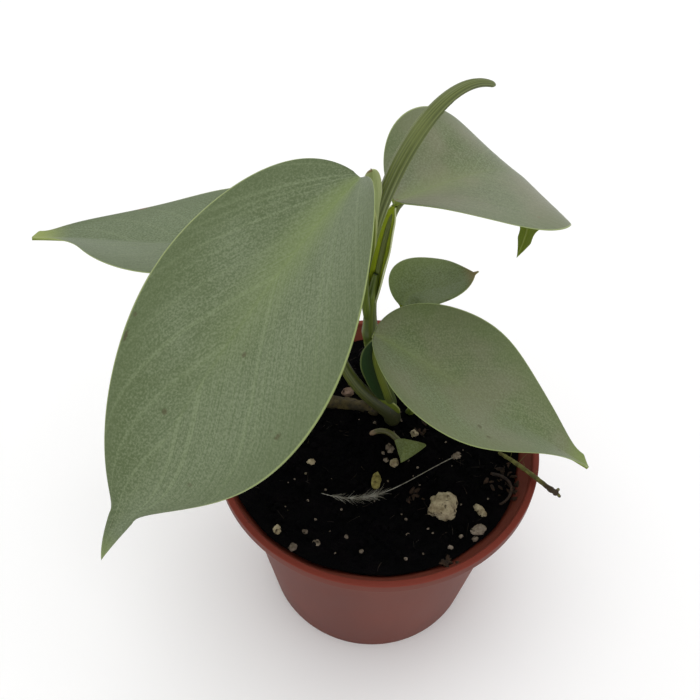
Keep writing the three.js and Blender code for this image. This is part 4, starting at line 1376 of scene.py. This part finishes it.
def buildSoil(black):
    shell = Shell()
    sectors, rings = soilMesh["sectors"], soilMesh["rings"]
    turns = [2 * math.pi * j / sectors for j in range(sectors)]
    floor = pot["floor"] + clearance
    wallTop = potTop - pot["flareHeight"] - clearance
    rows = []
    for i in range(soilMesh["wallRows"] + 1):
        z = mix(floor, wallTop, i / soilMesh["wallRows"])
        radius = innerWallRadius(z) - soilMesh["wallGap"]
        rows.append([Vector((radius * math.cos(a), radius * math.sin(a), z)) for a in turns])
    wall = innerWallRadius(soilLevel)
    for i in range(rings):
        row = []
        for a in turns:
            edgeHeight = soilHeight(wall * math.cos(a), wall * math.sin(a))
            radius = (innerWallRadius(edgeHeight) - soilMesh["wallGap"] * 2) * (1 - i / rings)
            x, y = radius * math.cos(a), radius * math.sin(a)
            row.append(onRoughSoil(x, y, 0))
        rows.append(row)
    start = shell.grid(rows, closed=True)
    last = start + (len(rows) - 1) * sectors
    shell.fan(range(start, start + sectors), Vector((0, 0, floor)), flip=True)
    shell.fan(range(last, last + sectors), onRoughSoil(0, 0, 0))
    shell.piece("pottingSoil", [black], ["potting_soil"])


def somewhere(draws, margin):
    # a random place on the soil, this far from the pot's wall
    reach = (innerWallRadius(soilLevel) - margin) * math.sqrt(draws.random())
    angle = draws.uniform(0, 2 * math.pi)
    return reach * math.cos(angle), reach * math.sin(angle)


def scatterCrumbs(draws, ball, black):
    shell = Shell()
    for i in range(soilMesh["crumbs"]):
        x, y = somewhere(draws, 1.5)
        size = 0.25 + 1.0 * draws.random() ** 3
        half = (size, size * draws.uniform(0.6, 1), size * draws.uniform(0.5, 0.9))
        addLump(shell, ball, onRoughSoil(x, y, half[2] * 0.25), half, draws.uniform(0, 3), i * 0.37, 0.5)
    shell.piece("soilCrumbs", [black], [])


def scatterDust(draws, ball):
    shell = Shell()
    for i in range(soilMesh["topPatchNoise"]):
        x, y = somewhere(draws, 2)
        size = draws.uniform(0.18, 0.5)
        half = (size, size * 0.8, size * 0.7)
        addLump(shell, ball, onRoughSoil(x, y, size * 0.6), half, draws.uniform(0, 3), i * 0.53, 0.45)
    for turn, share, size in soilMesh["strays"]:
        place = acrossSoil(turn, share)
        half = (size * 1.2, size, size * 0.8)
        addLump(shell, ball, onRoughSoil(place.x, place.y, size * 0.4), half, turn, size * 9, 0.4)
    pale = grainFinish("dustPale", shade(132, 120, 108), shade(84, 74, 62), shade(34, 27, 20))
    shell.piece("perliteDust", [pale], [])


def scatterDebris(draws, ball):
    shell = Shell()
    for turn, share, spread in soilMesh["debris"]:
        for i in range(soilMesh["debrisEach"]):
            place = acrossSoil(turn, share) + Vector((draws.gauss(0, 1), draws.gauss(0, 1), 0)) * spread
            size = draws.uniform(0.35, 0.9)
            centre = onRoughSoil(place.x, place.y, size * 0.4)
            half = (size * 1.6, size * 0.7, size * 0.5)
            addLump(shell, ball, centre, half, draws.uniform(0, 3), i * 0.7 + turn, 0.7, 2.3)
    bark = grainFinish("debrisBrown", shade(58, 42, 30), shade(32, 24, 18), shade(20, 15, 12))
    shell.piece("barkDebris", [bark], [])


def scatterThreads(draws):
    shell = Shell()
    for i in range(soilMesh["threads"]):
        x, y = somewhere(draws, 3)
        heading = Vector((draws.uniform(-1, 1), draws.uniform(-1, 1), draws.uniform(-0.1, 0.25)))
        length = draws.uniform(1.5, 5)
        addHair(shell, onRoughSoil(x, y, 0.3), heading, length, draws.uniform(0.05, 0.12), 0.9, i)
    brown = rootFinish("threadBrown", shade(44, 33, 23), shade(20, 15, 11), shade(34, 26, 18))
    shell.piece("soilThreads", [brown], [])


def fillPot():
    black = soilFinish()
    buildSoil(black)
    draws = random.Random(11)
    ball = ballOf(2)
    scatterCrumbs(draws, ball, black)
    scatterDust(draws, ball)
    scatterDebris(draws, ball)
    scatterThreads(draws)
    print("filled soil")


def finishBuriedRoots():
    # sealed in the soil, so the planned shapes stay and only get their finish
    tan = woodyFinish("rootTan", shade(126, 104, 66), shade(84, 64, 38), shade(54, 40, 24))
    for name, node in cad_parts.items():
        if name.startswith("buried_root"):
            node.data.materials.clear()
            node.data.materials.append(tan.material)


addCamera()
addStudio()
buildPot()
fillPot()
# the third colour is painted shade over the lower part of the stem, under the leaves
stemGreen = stalkFinish(
    "stemGreen", shade(98, 112, 34), shade(72, 88, 26), shade(42, 54, 30), lines=10, footEnd=0.62
)
buildStem(stemGreen)
buildCutting()
buildShoot(stemGreen)
buildBract()
buildLeaves()
buildRolledLeaf()
buildRoots()
buildGrains()
finishBuriedRoots()
